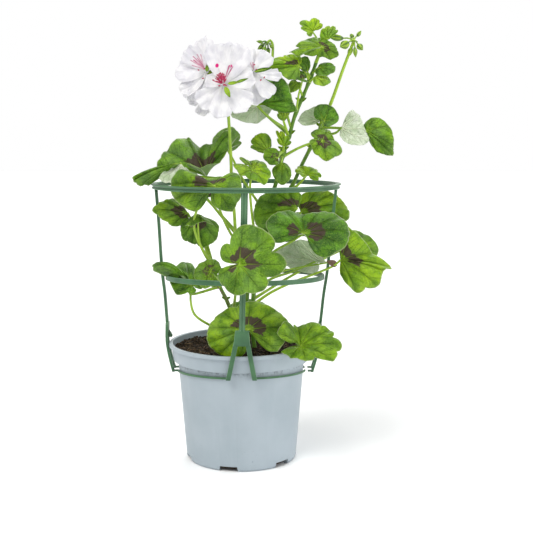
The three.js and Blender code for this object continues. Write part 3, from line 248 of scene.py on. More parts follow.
# Strokes on a petal: start, end, width and strength, across and along the petal
STROKES = {
    1: [((0.6, 5.5), (1.4, 12), 0.5, 0.3)],
    2: [((0.2, 3), (2, 14.4), 0.85, 0.95), ((0.2, 4), (-0.8, 15.2), 0.8, 0.95)],
    3: [((0.5, 4), (-5.2, 14), 0.6, 0.6), ((0, 3), (-3.2, 16.5), 0.65, 0.75),
        ((0, 3), (-1.2, 14.5), 0.7, 0.9), ((0, 3), (0.4, 18), 0.65, 0.8), ((0, 3), (2, 15.5), 0.7, 0.9),
        ((0, 3), (3.6, 17), 0.6, 0.7), ((0, 3), (5.6, 13.5), 0.6, 0.6), ((0, 4), (0.6, 13), 3.6, 0.3)],
    4: [((0, 3), (-2.4, 13), 0.8, 0.6), ((0, 3), (1.4, 14), 0.8, 0.5)],
    5: [((0, 2), (-1.4, 8), 0.9, 0.6), ((0, 2), (1, 9), 0.9, 0.6)],
}
# A round spot on a petal, as a short wide stroke
SPOTS = {1: [((2.1, 15.2), (2.4, 14.6), 1.9, 1)], 2: [((0.8, 15.4), (1.1, 14.8), 1.5, 1)]}

# Stems
LEFT_PATH = [
    [-3, -2, 101], [-5, -4, 115], [-8, -6, 124], [-12, -9, 135], [-17, -12, 146], [-21, -16, 159],
    [-24, -18, 168],
]
RIGHT_PATH = [[10, -7, 105], [10, -7, 130], [12, -8, 155], [14, -7, 172]]
TALL_PATH = [
    [5, 6, 98], [4, 5, 108], [4, 4, 119], [5, 4, 141], [7, 4, 162], [12, 4, 183], [20, 4, 206],
    [27, 2, 224], [32, 0, 241], [35, -2, 257], [40, -2, 270], [44, -2, 284], [49, -2, 296],
    [54, -2, 308], [59, -2, 321], [63, -2, 333], [65, -2, 340],
]
BRANCH = [[17, 5, 198], [29, 12, 210], [42, 16, 226], [50, 16, 243], [58, 14, 259], [64, 10, 270]]
BUD_HEAD = [92, 5, 345]
BUD_STALK = [[64, 10, 270], [66, 8, 276], [75, 6, 298], [83, 5, 321], [89, 5, 337], BUD_HEAD]
UMBEL = [-10, -24, 302]
FLOWER_STALK = [
    [6, 4, 159], [-3, -6, 183], [-5, -14, 208], [-7, -18, 232], [-7, -20, 245], [-8, -22, 269],
    [-9, -24, 287], UMBEL,
]
NODDING_HEAD = [22, -8, 342]
NODDING_STALK = [
    [41, -2, 275], [34, -4, 297], [27, -7, 316], [26, -8, 328], [26, -8, 341], [24, -8, 344],
    NODDING_HEAD,
]
JOINTS = [[12, 4, 183], [35, -2, 257], [40, -2, 270], [49, -2, 296], [58, 14, 259], [66, 8, 276]]
# The tips of the buds, measured from their head, and each bud's radius
BUD_TIPS = [
    [-22, -6, 3, 2.6], [-12, -10, -6, 3.4], [6, 2, 8, 1.6], [-4, 6, -13, 2], [7, -3, -8, 2.6],
    [1, -6, -14, 1.8], [-2, 8, 6, 1.8],
]
NODDING_TIPS = [
    [-9, -3, 1, 1.3], [-8, 2, -5, 1.7], [-4, -4, -8, 1.8], [1, 3, -9, 1.6], [5, -2, -5, 1.3],
    [-6, 5, -2, 1.5],
]
# Green slivers seen between the petals: from, to, width and tone
SLIVERS = [
    ((-10.5, -45.6, 305.8), (-6.6, -47, 297.6), 3.9, 0.95),
    ((-8.4, -45.6, 308), (0.4, -47.4, 309.4), 2.6, 1),
    ((-2.4, -46.2, 308.8), (7.4, -45.4, 312.2), 2.2, 0.25),
    ((11.5, -36, 317.6), (25.8, -35.6, 320.8), 3, 0.3),
    ((-24.8, -36, 317.6), (-24.4, -38.6, 323), 2.8, 0.6),
]
# A dried thread beside the left stem, and a dried scale by a leaf of the right shoot
THREAD = [[-25, -14, 155], [-18, -18, 146], [-12, -22, 139], [-9, -24, 132]]
SCALE = [[78, -21.6, 164.4], [70.4, -22.4, 169]]

# The ring support
SUPPORT = Sizes(
    ring_top=230.2, ring_top_radius=77.7, middle=152.9, middle_radius=65.7, middle_tilt=3.2,
    middle_height=4, middle_thick=1.7, middle_shift=3.4, arc=74.3, arc_radius=54.05, arc_tilt=5.2,
    arc_thick=1.1, arc_height=1.7, arc_shift=0.4, bar_width=4.6, bar_thick=2.3, groove=0.45,
    block=((114.3, 5.35), (102.6, 6.5)), block_reach=63.75, block_thick=2.54, leg_width=3.8, leg_thick=2.1,
    leg_top=105, leg_spread=4.5, foot=74, toe_reach=54.2, toe_width=3.04, tab=(72.55, 73.85),
    tab_drop=(7.6, 1.6), stop_width=4.4, segments=168,
)
# The top ring's section, measured from its outer edge and its top
RING_SECTION = [
    (-4.5, -1.2), (-3.2, -1.2), (-3.2, -4), (-0.9, -4), (-0.9, -2.8), (-1.6, -2.8), (-1.6, -1.2), (0, -1.2),
    (0, 0), (-4.5, 0),
]
# Lines down an upright as radius and height: its bar, its legs and the outline of its stop
BAR_PATH = [(73.85, 225.85), (71.6, 200), (68.4, 157), (66.1, 139), (64.6, 122), (63.75, 112)]
LEG_PATH = [(63.7, 105), (63.7, 99.5), (62.9, 94), (60.8, 84.5), (57.9, 74)]
STOP_OUTLINE = [(63.6, 108.6), (62.6, 108.3), (59.6, 103.4), (59.6, 102.1), (63.6, 102.1)]
# Where each arc round the pot starts and ends
ARCS = dict(
    front_right=(-80, -9.5), back_right=(9.5, 80), back_left=(100, 170.5), front_left=(-170.5, -100),
)
# Each upright's place round the pot, its lift above the common height and the spread of its legs
UPRIGHTS = dict(
    front=(-90, 5.2, 10.35), right=(-1, -0.2, 6.6), back=(91.5, -3.8, 10.35), left=(180, -0.2, 6.6),
)


# Curves and frames
def unit(vectors):
    """Vectors of length 1."""
    vectors = np.asarray(vectors, float)
    return vectors / np.maximum(np.linalg.norm(vectors, axis=-1, keepdims=True), 1e-9)


def step(value, low, high):
    """A smooth step from 0 at low to 1 at high."""
    t = np.clip((value - low) / (high - low), 0, 1)
    return t * t * (3 - 2 * t)


def spline(values, at):
    """A smooth curve through values at 0, 1, 2 and so on, which runs on straight past its ends."""
    values = np.asarray(values, float)
    last = len(values) - 1
    inside = np.clip(at, 0, last)
    ends = np.vstack([2 * values[0] - values[1], values, 2 * values[-1] - values[-2]])
    low = np.clip(np.floor(inside).astype(int), 0, last - 1)
    t = (inside - low)[:, None]
    a, b, c, d = (ends[low + k] for k in range(4))
    curve = b + 0.5 * t * (c - a + t * (2 * a - 5 * b + 4 * c - d + t * (3 * b - 3 * c + d - a)))
    slope = np.where((at < 0)[:, None], values[1] - values[0], values[-1] - values[-2])
    return curve + (at - inside)[:, None] * slope


def run_along(path):
    """The length of a path from its start to each of its points."""
    return np.concatenate([[0], np.cumsum(np.linalg.norm(np.diff(path, axis=0), axis=1))])


def smooth_path(points, spacing):
    """A smooth line through points, cut into even steps of about the given length."""
    points = np.asarray(points, float)
    points = np.vstack([2 * points[0] - points[1], points, 2 * points[-1] - points[-2]])
    t = np.linspace(0, 1, 17)[:-1, None]
    pieces = []
    for i in range(1, len(points) - 2):
        a, b, c, d = points[i - 1:i + 3]
        before, here, after = (max(np.linalg.norm(side), 1e-6) ** 0.5 for side in (b - a, c - b, d - c))
        leave = ((b - a) / before - (c - a) / (before + here) + (c - b) / here) * here
        reach = ((c - b) / here - (d - b) / (here + after) + (d - c) / after) * here
        pieces.append((2 * t**3 - 3 * t**2 + 1) * b + (t**3 - 2 * t**2 + t) * leave
                      + (3 * t**2 - 2 * t**3) * c + (t**3 - t**2) * reach)
    line = np.vstack([*pieces, points[-2][None]])
    run = run_along(line)
    at = np.linspace(0, run[-1], max(int(run[-1] / spacing), 2) + 1)
    return np.column_stack([np.interp(at, run, line[:, k]) for k in range(3)])


def frames_along(path):
    """The way ahead at each point of a path, and two directions across it that never twist round it."""
    ahead = unit(np.gradient(path, axis=0))
    start = np.array([1.0, 0, 0]) if abs(ahead[0][0]) < 0.8 else np.array([0, 1.0, 0])
    across = [unit(start - ahead[0] * start.dot(ahead[0]))]
    for direction in ahead[1:]:
        across.append(unit(across[-1] - direction * across[-1].dot(direction)))
    return ahead, np.array(across), np.cross(ahead, across)


def turns(count):
    """Even angles round a full turn."""
    return np.arange(count) / count * TURN


def lump_noise(points, size, seed):
    """Smooth noise between -1 and 1 with lumps of about the given size."""
    table = np.random.default_rng(seed).uniform(-1, 1, 4096)
    cell = np.asarray(points, float) / size
    low = np.floor(cell).astype(int)
    t = cell - low
    t = t * t * (3 - 2 * t)
    total = 0
    for corner in range(8):
        offset = np.array([corner & 1, corner >> 1 & 1, corner >> 2 & 1])
        key = (low + offset) @ np.array([73, 179, 283])
        total = total + table[key % len(table)] * np.prod(np.where(offset, t, 1 - t), axis=1)
    return total


# Meshes
class Shape:
    """Collects points and faces, with two triples of numbers for each point that its material reads."""

    def __init__(self):
        self.points, self.faces, self.form, self.look, self.paint = [], [], [], [], []
        self.count = 0

    def add(self, points, faces, form=(0, 0, 0), look=(0, 0, 0), paint=0):
        """Adds points and faces. Form and look are a triple for each point, or one for all."""
        points = np.asarray(points, float).reshape(-1, 3)
        for store, given in ((self.form, form), (self.look, look)):
            store.append(np.broadcast_to(np.asarray(given, float).reshape(-1, 3), points.shape))
        self.points.append(points)
        self.faces += [tuple(int(i) + self.count for i in face) for face in faces]
        self.paint += [paint] * len(faces)
        self.count += len(points)

    def bare(self, name):
        """Makes an object of the points and faces alone."""
        mesh = bpy.data.meshes.new(name)
        mesh.from_pydata((np.vstack(self.points) * MM).tolist(), [], self.faces)
        piece = bpy.data.objects.new(name, mesh)
        bpy.context.scene.collection.objects.link(piece)
        return piece

    def build(self, name, materials, slot, *nodes):
        """Makes the piece that stands for the given nodes of the frame."""
        piece = self.bare(name)
        mesh = piece.data
        for label, rows in (("form", self.form), ("look", self.look)):
            attribute = mesh.attributes.new(label, "FLOAT_VECTOR", "POINT")
            attribute.data.foreach_set("vector", np.vstack(rows).astype(np.float32).ravel())
        for material in materials:
            mesh.materials.append(material)
        mesh.polygons.foreach_set("material_index", self.paint)
        mesh.polygons.foreach_set("use_smooth", [True] * len(self.faces))
        mesh.update()
        place(piece, slot, *nodes)


def place(piece, slot, *nodes):
    """Puts a piece on the frame's body and in the place of its nodes."""
    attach(piece, "root")
    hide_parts(*nodes)


def quads(at, *closed):
    """The quads between a grid of point numbers, which is joined to its start along the closed axes."""
    for axis in closed:
        at = np.concatenate([at, at.take([0], axis)], axis)
    low, high = at[:-1], at[1:]
    return np.stack([low[:, :-1], low[:, 1:], high[:, 1:], high[:, :-1]], -1).reshape(-1, 4).tolist()


def numbers(rows, columns):
    """The numbers of a grid's points."""
    return np.arange(rows * columns).reshape(rows, columns)


def body_faces(rings, sides):
    """The faces of a body through rings of points, with a face over each end."""
    at = numbers(rings, sides)
    return quads(at, 1) + [at[0, ::-1].tolist(), at[-1].tolist()]


# How far past its end a tube's dome has each of its rings, and how wide the ring is, in the tube's radii
DOME = [(0.5, 0.87), (0.87, 0.5), (1, 0.12)]


def tube(shape, path, radii, sides, look, paint=0):
    """A round stalk with domed ends. Form is the way round and along it in millimetres, and its share."""
    ahead, across, other = frames_along(path)
    radii = np.broadcast_to(np.asarray(radii, float), len(path))
    last = len(path) - 1
    rings = [(0, -out, size) for out, size in reversed(DOME)]
    rings += [(i, 0, 1) for i in range(last + 1)]
    rings += [(last, out, size) for out, size in DOME]
    turn, run = turns(sides), run_along(path)
    points, form = [], []
    for i, out, size in rings:
        spokes = np.cos(turn)[:, None] * across[i] + np.sin(turn)[:, None] * other[i]
        points.append(path[i] + radii[i] * (ahead[i] * out + spokes * size))
        form.append(np.column_stack([turn * radii[i], 0 * turn + run[i], 0 * turn + run[i] / run[-1]]))
    shape.add(np.vstack(points), body_faces(len(rings), sides), np.vstack(form), look, paint)


def blade(shape, foot, grid, thickness, form, look, paint=0):
    """A thin closed sheet from its foot out to its rim. Grid has a row of points for each reach."""
    rows, columns = grid.shape[:2]
    normal = unit(np.cross(np.gradient(grid, axis=0), np.gradient(grid, axis=1)))
    half = np.full((rows, 1, 1), thickness / 2)
    half[-1] *= 0.45
    foot_normal = unit(normal[0].mean(axis=0)) * thickness / 2
    top = np.vstack([(foot + foot_normal)[None], (grid + normal * half).reshape(-1, 3)])
    under = np.vstack([(foot - foot_normal)[None], (grid - normal * half).reshape(-1, 3)])
    at, down = numbers(rows, columns) + 1, rows * columns + 1
    border = np.concatenate([[0], at[:, 0], at[-1, 1:], at[-2::-1, -1], [0]])
    faces = quads(at.T) + quads(at + down) + quads(np.stack([border, border + down], -1))
    for a, b in zip(at[0], at[0, 1:]):
        faces += [[0, a, b], [down, b + down, a + down]]
    form = np.vstack([[[0, 0, 0]], form.reshape(-1, 3)])
    look = np.vstack([look.reshape(-1, 3)[:1], look.reshape(-1, 3)])
    form, look = np.vstack([form, form]), np.vstack([look, look * (0, 1, 1)])
    shape.add(np.vstack([top, under]), faces, form, look, paint)


# Leaves
# What the leaf blades share: the thickness and the size of a large leaf in millimetres, the rest as shares
# of a lobe's length, and how many points a lobe has round and out on a large and on a small leaf
LEAF = Sizes(
    thickness=0.55, growth=1.04, notch=0.145, crease=0.98, shoulder=0.3, pleat=0.085, ruffle=0.02,
    crenate=0.004, large=15, large_grid=(14, 18), small_grid=(8, 10),
)


# Leaf stalks and stems: the steps of their path, how they taper, and how they swell at a foot or a knot
STALK = Sizes(spacing=1.6, sides=10, wide=1.15, taper=0.3, foot=0.35, foot_steps=2.5)
STEM = Sizes(spacing=1.5, knot=0.22, knot_reach=3.2, rough=0.03, lumps=9, seed=5)
# Small pointed blades, and the pair of them at a joint
POINTED = Sizes(thickness=0.4, rows=9, columns=7, rim=0.04, dish=0.6)
STIPULE = Sizes(drop=0.7, width=0.62, tone=0.85)


def leaf_blade(shape, leaf, order):
    """One leaf: each lobe is a rib from the foot, and the rim dips between two ribs."""
    foot, lobes = np.array(leaf.at, float), np.array(leaf.lobes, float)
    last = len(lobes) - 1
    lengths = np.linalg.norm(lobes, axis=1)
    per_lobe, rows = LEAF.large_grid if lengths.max() > LEAF.large else LEAF.small_grid
    q = np.linspace(-0.5, last + 0.5, (last + 1) * per_lobe + 1)
    inside, rib_number = np.clip(q, 0, last), np.clip(np.round(q), 0, last)
    direction = unit(spline(unit(lobes), q))
    length = spline(lengths[:, None], inside)[:, 0]
    between, outside = np.abs(q - np.round(q)) * 2, np.abs(q - inside) * 2
    valley = 0.5 * between**2 + 0.5 * (1 - np.sqrt(1 - LEAF.crease * between**2))
    gap = np.clip(np.floor(q), 0, last - 1).astype(int)
    notch = np.broadcast_to(np.asarray(leaf.notch, float), last)[gap]
    shoulder = LEAF.shoulder * (outside + outside**6)
    dip = np.where(outside > 0, shoulder, LEAF.notch * notch * valley)
    span = LEAF.growth * length * (1 - dip + LEAF.crenate * np.sin(q * 3 * TURN + order))
    facing = unit(sum(np.cross(a, b) for a, b in zip(lobes, lobes[1:])))
    reach = np.linspace(0, 1, rows + 1)[1:, None] ** 0.9
    arch = leaf.arch * 4 * reach * (1 - reach)
    pleat = LEAF.pleat * np.where(outside > 0, 0, np.sin(between * math.pi / 2)) * reach**0.8
    ruffle = LEAF.ruffle * reach**3 * np.sin(q * 1.5 * TURN + order * 1.7)
    bulge = (arch + pleat + ruffle) * length
    grid = foot + direction * (span * reach)[..., None] + facing * bulge[..., None]
    width = np.linalg.norm(np.gradient(grid, axis=1), axis=2) * per_lobe
    rib = width * np.abs(q - rib_number)
    form = np.stack([rib, span * reach, reach + 0 * rib], -1)
    zone = np.broadcast_to(np.asarray(leaf.zone, float), last + 1)
    strength = spline(zone[:, None], inside)[:, 0]
    look = np.stack(np.broadcast_arrays(1.0, leaf.tone, strength + 0 * rib), -1)
    blade(shape, foot, grid, LEAF.thickness, form, look)


def nearest_on(stems, target):
    """The point of the stems' straight pieces that is nearest to a target."""
    near = []
    for line in stems:
        line = np.asarray(line, float)
        for a, b in zip(line, line[1:]):
            near.append(a + (b - a) * np.clip((target - a).dot(b - a) / (b - a).dot(b - a), 0, 1))
    return min(near, key=lambda point: np.linalg.norm(point - target))


def leaf_stalk(shape, leaf, stems):
    """The stalk of a leaf, from the middle of the nearest stem to the leaf's foot."""
    points = np.array([*leaf.stalk, leaf.at], float)
    points[0] = nearest_on(stems, points[0])
    path = smooth_path(points, STALK.spacing)
    share = np.linspace(0, 1, len(path))
    swell = 1 + STALK.foot * np.exp(-share * len(path) / STALK.foot_steps)
    radii = leaf.stalk_radius * (STALK.wide - STALK.taper * share) * swell
    tube(shape, path, radii, STALK.sides, (0, 0.55 + 0.4 * leaf.tone, 0), paint=1)


def stem(shape, points, start, end, sides, tone, knots=()):
    """A stem that swells a little at its joints."""
    path = smooth_path(points, STEM.spacing)
    radii = np.linspace(start, end, len(path))
    for knot in knots:
        away = np.linalg.norm(path - np.asarray(knot, float), axis=1)
        radii = radii * (1 + STEM.knot * np.exp(-((away / STEM.knot_reach) ** 2)))
    radii = radii * (1 + STEM.rough * lump_noise(path, STEM.lumps, STEM.seed))
    tube(shape, path, radii, sides, (0, tone, 0), paint=1)


def pointed(shape, start, tip, width, facing, tone, curl=0.12, paint=0):
    """A small pointed blade, such as a sepal or a stipule, from its foot to its tip."""
    start = np.asarray(start, float)
    along = np.asarray(tip, float) - start
    length = np.linalg.norm(along)
    side = unit(np.cross(unit(facing), along))
    out = unit(np.cross(along, side))
    reach = np.linspace(0, 1, POINTED.rows + 1)[1:, None]
    u = np.linspace(-1, 1, POINTED.columns)
    half = width / 2 * np.sin(math.pi * reach**0.75) ** 0.8 + POINTED.rim
    lift = length * curl * (reach**2 - u**2 * POINTED.dish * np.sin(math.pi * reach))
    grid = start + along * reach[..., None] + side * (half * u)[..., None] - out * lift[..., None]
    rib = np.abs(half * u)
    form = np.stack([rib, reach * length + 0 * rib, 0.6 * reach + 0 * rib], -1)
    look = np.broadcast_to(np.array([1.0, tone, 0]), form.shape)
    blade(shape, start, grid, POINTED.thickness, form, look, paint)


# A bud's mesh and ridges, the shares of its reach where its stalk ends and bends, the stalk's radius, how
# far along the bud its sepals reach, and the small scales round the middle of a head
BUD = Sizes(rings=15, sides=20, ridges=5, ridge=0.09, foot=0.42, bend=0.21, stalk=0.62, sepal=0.72)
COLLAR = Sizes(scales=7, reach=3.4, width=1.7, sag=0.8)


def bud(shape, foot, tip, radius, tone):
    """A closed bud with five ridges, pointed at its tip."""
    along = tip - foot
    across = unit(np.cross([0.31, 0.77, 0.55], along))
    other = np.cross(unit(along), across)
    share, turn = np.linspace(0, 1, BUD.rings)[:, None], turns(BUD.sides)
    swell = (0.42 + 0.62 * np.sin(math.pi * share**0.8)) * np.sqrt(np.clip(1 - share**3, 0.002, 1))
    size = radius * swell * (1 + BUD.ridge * np.cos(BUD.ridges * turn) * np.sin(math.pi * share))
    spokes = np.cos(turn)[:, None] * across + np.sin(turn)[:, None] * other
    points = foot + share[..., None] * along + size[..., None] * spokes
    ridge = 2.5 * (1 + np.cos(BUD.ridges * turn))
    form = np.stack(np.broadcast_arrays(ridge, share * np.linalg.norm(along), share), -1)
    shape.add(points, body_faces(BUD.rings, BUD.sides), form, (0, tone, 0), paint=2)


def bud_head(shape, head, tips, tone):
    """Buds on short bent stalks round the end of their stem."""
    centre = np.array(head, float)
    for x, y, z, radius in tips:
        reach = np.array([x, y, z], float)
        tip, foot = centre + reach, centre + reach * BUD.foot
        along = tip - foot
        bend = centre + reach * BUD.bend + (0, 0, 1)
        path = smooth_path([centre, bend, foot + along * 0.1], 0.9)
        tube(shape, path, BUD.stalk, 8, (0, tone, 0), paint=1)
        bud(shape, foot, tip, radius, tone)
        away = unit(np.cross(along, [0.2, 0.4, 1]))
        for side in (-away, away):
            sepal = foot + along * BUD.sepal + side * radius * 0.95
            pointed(shape, foot + side * radius * 0.35, sepal, radius * 0.9, side, tone + 0.1)
    for angle in turns(COLLAR.scales):
        ray = np.array([math.cos(angle), math.sin(angle), 0.1 * math.sin(angle * 3)])
        tip = centre + ray * COLLAR.reach - (0, 0, COLLAR.sag)
        pointed(shape, centre, tip, COLLAR.width, (0, 0, 1), tone)


def stipules(shape, joints, size):
    """Two small pointed scales at each joint of a stem."""
    for joint in np.asarray(joints, float):
        for side in (-size, size):
            tip = joint + (side, -STIPULE.drop * size, STIPULE.drop * size)
            pointed(shape, joint, tip, size * STIPULE.width, (0, -1, 0.4), STIPULE.tone)


def main_stem(shape, name, points, start, end, sides, tone, leaves):
    """The main stem of a shoot from its hole in the soil on, with a knot at each leaf stalk. Its line."""
    x, y = HOLES[name]
    line = [[x, y, HOLE_BOTTOM], [x, y, SOIL.top + 1], *points]
    stem(shape, line, start, end, sides, tone, [leaf.stalk[0] for leaf in leaves])
    return line


def foliage(shape, leaves, stems):
    """The stalks and blades of a shoot's leaves."""
    for order, leaf in enumerate(leaves):
        leaf_stalk(shape, leaf, stems)
        leaf_blade(shape, leaf, order)


def build_left_shoot(materials):
    """The left shoot, with a dried thread."""
    shape = Shape()
    line = main_stem(shape, "left", LEFT_PATH, 2, 1.4, 14, 0.35, LEFT_LEAVES)
    foliage(shape, LEFT_LEAVES, [line])
    stipules(shape, LEFT_PATH[1::2], 3.4)
    thread = smooth_path(THREAD, 0.8)
    tube(shape, thread, np.linspace(0.45, 0.22, len(thread)), 6, (0, 0, 0), paint=3)
    shape.build("left_shoot", materials, "plant_green", "shoot_left")


def build_right_shoot(materials):
    """The right shoot, with a dried scale."""
    shape = Shape()
    line = main_stem(shape, "right", RIGHT_PATH, 2, 1.4, 14, 0.3, RIGHT_LEAVES)
    foliage(shape, RIGHT_LEAVES, [line])
    stipules(shape, RIGHT_PATH[:3], 3.4)
    pointed(shape, *SCALE, 5.4, (0, -1, 0.5), 0, curl=0.3, paint=3)
    shape.build("right_shoot", materials, "plant_green", "shoot_right")


def build_tall_shoot(materials):
    """The tall shoot and its branch, the stalks of both bud heads and the green of the flower head."""
    shape = Shape()
    line = main_stem(shape, "tall", TALL_PATH, 2.4, 1.2, 16, 0.3, TALL_LEAVES)
    stem(shape, BRANCH, 1.7, 1.5, 14, 0.35, [BRANCH[2], BRANCH[4]])
    stem(shape, BUD_STALK, 1.5, 1.2, 14, 0.85)
    stem(shape, FLOWER_STALK, 1.4, 1.2, 14, 0.7)
    stem(shape, NODDING_STALK, 1.1, 1, 12, 0.6)
    foliage(shape, TALL_LEAVES + BACK_LEAVES, [line, BRANCH, BUD_STALK, FLOWER_STALK, NODDING_STALK])
    bud_head(shape, BUD_HEAD, BUD_TIPS, 0.6)
    bud_head(shape, NODDING_HEAD, NODDING_TIPS, 0.3)
    stipules(shape, JOINTS, 4.2)
    for floret in FLORETS.values():
        calyx(shape, floret)
    for start, tip, width, tone in SLIVERS:
        pointed(shape, start, tip, width, (0, -1, 0.2), tone, curl=0.04)
    shape.build("tall_shoot", materials, "plant_green", "shoot_tall")


# Flower
# A petal's thickness and mesh, and its cup, fold and ruffles as shares of its length
PETAL = Sizes(thickness=0.42, columns=31, rows=22, cup=0.42, fold=0.03, ruffle=0.034, fine_ruffle=0.011)
# A calyx: its sepals, how far its seat is behind the throat, and its stalk
CALYX = Sizes(sepals=5, reach=8, width=3.4, seat=3.55, sag=1.6, neck=6, turn=0.3, stalk=0.75, cup=0.35)
# Two radii each, along the body and across it
THROAT = (1.76, 1.54)
ANTHER = (0.95, 0.5225)
BALL = Sizes(rings=9, sides=10)


def floret_frame(floret):
    """The throat's middle, the way the floret faces, and its right and up."""
    facing = unit(floret.facing)
    right = unit(np.cross([0, 0, 1], facing))
    return np.array(floret.at, float), facing, right, np.cross(facing, right)


def petal_blade(shape, floret, order, mark):
    """A ruffled petal, narrow at the throat and widest past its middle."""
    centre, facing, _, _ = floret_frame(floret)
    *tip, half_angle = floret.petals[order]
    length = np.linalg.norm(tip)
    along = unit(tip)
    side = unit(np.cross(facing, along))
    lifted = unit(np.cross(along, side))
    phase = order * 2.1 + length
    u = np.linspace(-1, 1, PETAL.columns)
    reach = np.linspace(0, 1, PETAL.rows + 1)[1:, None]
    angle = np.radians(half_angle * u * (1.35 - 0.45 * reach))
    edge = 1 - 0.13 * u**2 - 0.02 * np.abs(u) ** 6 + 0.02 * np.sin(u * 6 + phase)
    if math.sin(phase * 3) > 0:
        edge = edge - 0.035 * np.exp(-((u / 0.16) ** 2))
    span = length * reach * edge
    cup = PETAL.cup * reach * (1 - reach) + 0.03 * reach * np.sin(u * 5 + order * 2)
    ruffle = PETAL.ruffle * reach**3 * np.sin(u * 9 + phase)
    ruffle = ruffle + PETAL.fine_ruffle * reach**5 * np.sin(u * 17 + phase * 2)
    fold = PETAL.fold * np.exp(-((u / 0.22) ** 2)) * np.sin(math.pi * reach)
    ahead, aside = np.cos(angle) * span, np.sin(angle) * span
    lift = (cup + ruffle + fold) * length
    grid = centre + along * ahead[..., None] + side * aside[..., None] - lifted * lift[..., None]
    form = np.stack([aside, ahead, reach + 0 * angle], -1)
    look = np.broadcast_to(np.array([1.0, mark, 0]), form.shape)
    blade(shape, centre, grid, PETAL.thickness, form, look)


def ball(shape, centre, radii, axis, paint):
    """A small rounded body, long in the direction of axis. Radii are along it and across it."""
    axis = unit(axis)
    across = unit(np.cross(axis, [0.3, 0.2, 0.93]))
    rise = np.linspace(-1, 1, BALL.rings)[:, None, None] * math.pi / 2 * 0.97
    turn = turns(BALL.sides)[:, None]
    spokes = np.cos(turn) * across + np.sin(turn) * np.cross(axis, across)
    points = centre + np.sin(rise) * radii[0] * axis + np.cos(rise) * radii[1] * spokes
    shape.add(points, body_faces(BALL.rings, BALL.sides), (0, 0, 0.5), (1, 0, 0), paint)


def stamens(shape, floret):
    """Thin white filaments out of the throat, each with a crimson anther."""
    centre, facing, right, up = floret_frame(floret)
    for x, z, y in floret.anthers:
        side, ahead = right * x + up * z, facing * y
        bend, end = centre + side * 0.45 + ahead * 0.8, centre + side + ahead
        path = smooth_path([centre + facing * 0.4, bend, end], 0.5)
        tube(shape, path, np.linspace(0.3, 0.2, len(path)), 6, (1, 0, 0))
        ball(shape, end, ANTHER, right * 0.8 + up * (0.3 + x * 0.1), paint=1)


def style_arms(shape, floret):
    """Crimson arms that spread from the throat, each thickest in its middle."""
    centre, facing, right, up = floret_frame(floret)
    for x, z, y in STYLE_ARMS:
        side, ahead = right * x + up * z, facing * y
        bend, end = centre + side * 0.55 + ahead, centre + side + ahead
        path = smooth_path([centre + facing * 0.6, bend, end], 0.5)
        swell = 0.3 + 0.3 * np.sin(np.linspace(0.15, 0.95, len(path)) * math.pi)
        tube(shape, path, swell, 6, (1, 0, 0), paint=1)


def build_florets(materials):
    """The petals, throat and stamens of each floret."""
    for name, floret in FLORETS.items():
        shape = Shape()
        centre, facing, _, _ = floret_frame(floret)
        for order in range(len(floret.petals)):
            petal_blade(shape, floret, order, MARKS.get((name, order), 0))
        ball(shape, centre, THROAT, facing, paint=0)
        stamens(shape, floret)
        if name == "front":
            style_arms(shape, floret)
        shape.build("flower_" + name, materials, "petal_white", "floret_" + name)


def calyx(shape, floret):
    """A star of sepals behind the floret, on a bent stalk from the head's middle."""
    centre, facing, right, up = floret_frame(floret)
    seat = centre - facing * CALYX.seat
    path = smooth_path([UMBEL, seat - facing * CALYX.neck, seat], 0.9)
    radii = CALYX.stalk + CALYX.cup * np.linspace(0, 1, len(path)) ** 3
    tube(shape, path, radii, 10, (0, 0.75, 0), paint=1)
    for angle in turns(CALYX.sepals) + CALYX.turn:
        ray = right * math.cos(angle) + up * math.sin(angle)
        tip = seat + ray * CALYX.reach - facing * CALYX.sag
        pointed(shape, seat, tip, CALYX.width, facing, 0.6, curl=0.06)


# Soil
# The soil's underside and side inside the pot, as radius and height
SOIL_SIDE = [(30, SOIL.bottom), (44.2, SOIL.bottom + 0.4), (50.9, 84.9), (54.9, 85.3)]
# The size of each kind of clod and the seed of its noise, and its height as a share of its size
CLODS = [(7, 1), (3.4, 2), (1.7, 3)]
CLOD_HEIGHT = 0.16
# The random scatter: how many crumbs and fibres, and the sizes of the crumbs
CRUMBS = Sizes(seed=11, crumbs=2600, fibres=210, smallest=0.35, spread=1.25, brim=0.2)


def soil_height(x, y):
    """The soil's own lumps, as in the part, with finer clods on them."""
    x, y = np.asarray(x, float), np.asarray(y, float)
    broad = np.sin(x * 0.33 + 1.1) * np.cos(y * 0.29 - 0.4) + 0.6 * np.sin(x * 0.13 - y * 0.21)
    flat = np.column_stack([x.ravel(), y.ravel(), np.zeros(x.size)])
    clods = sum(size * CLOD_HEIGHT * lump_noise(flat, size, seed) for size, seed in CLODS)
    inner = 1 - step(np.hypot(x, y), 44, 54)
    return SOIL.top + 0.3 + SOIL.bump * broad * inner + clods.reshape(x.shape)


def soil_body(shape):
    """The lumpy top, and a plain side and bottom inside the pot."""
    turn = turns(SOIL.segments)
    reach = np.linspace(SOIL.radius, 0.6, SOIL.rings)[:, None]
    x, y = reach * np.cos(turn), reach * np.sin(turn)
    top = np.stack([x, y, soil_height(x, y)], -1)
    side = [np.stack([r * np.cos(turn), r * np.sin(turn), 0 * turn + z], -1) for r, z in SOIL_SIDE]
    shape.add([*side, *top], body_faces(len(side) + SOIL.rings, SOIL.segments))


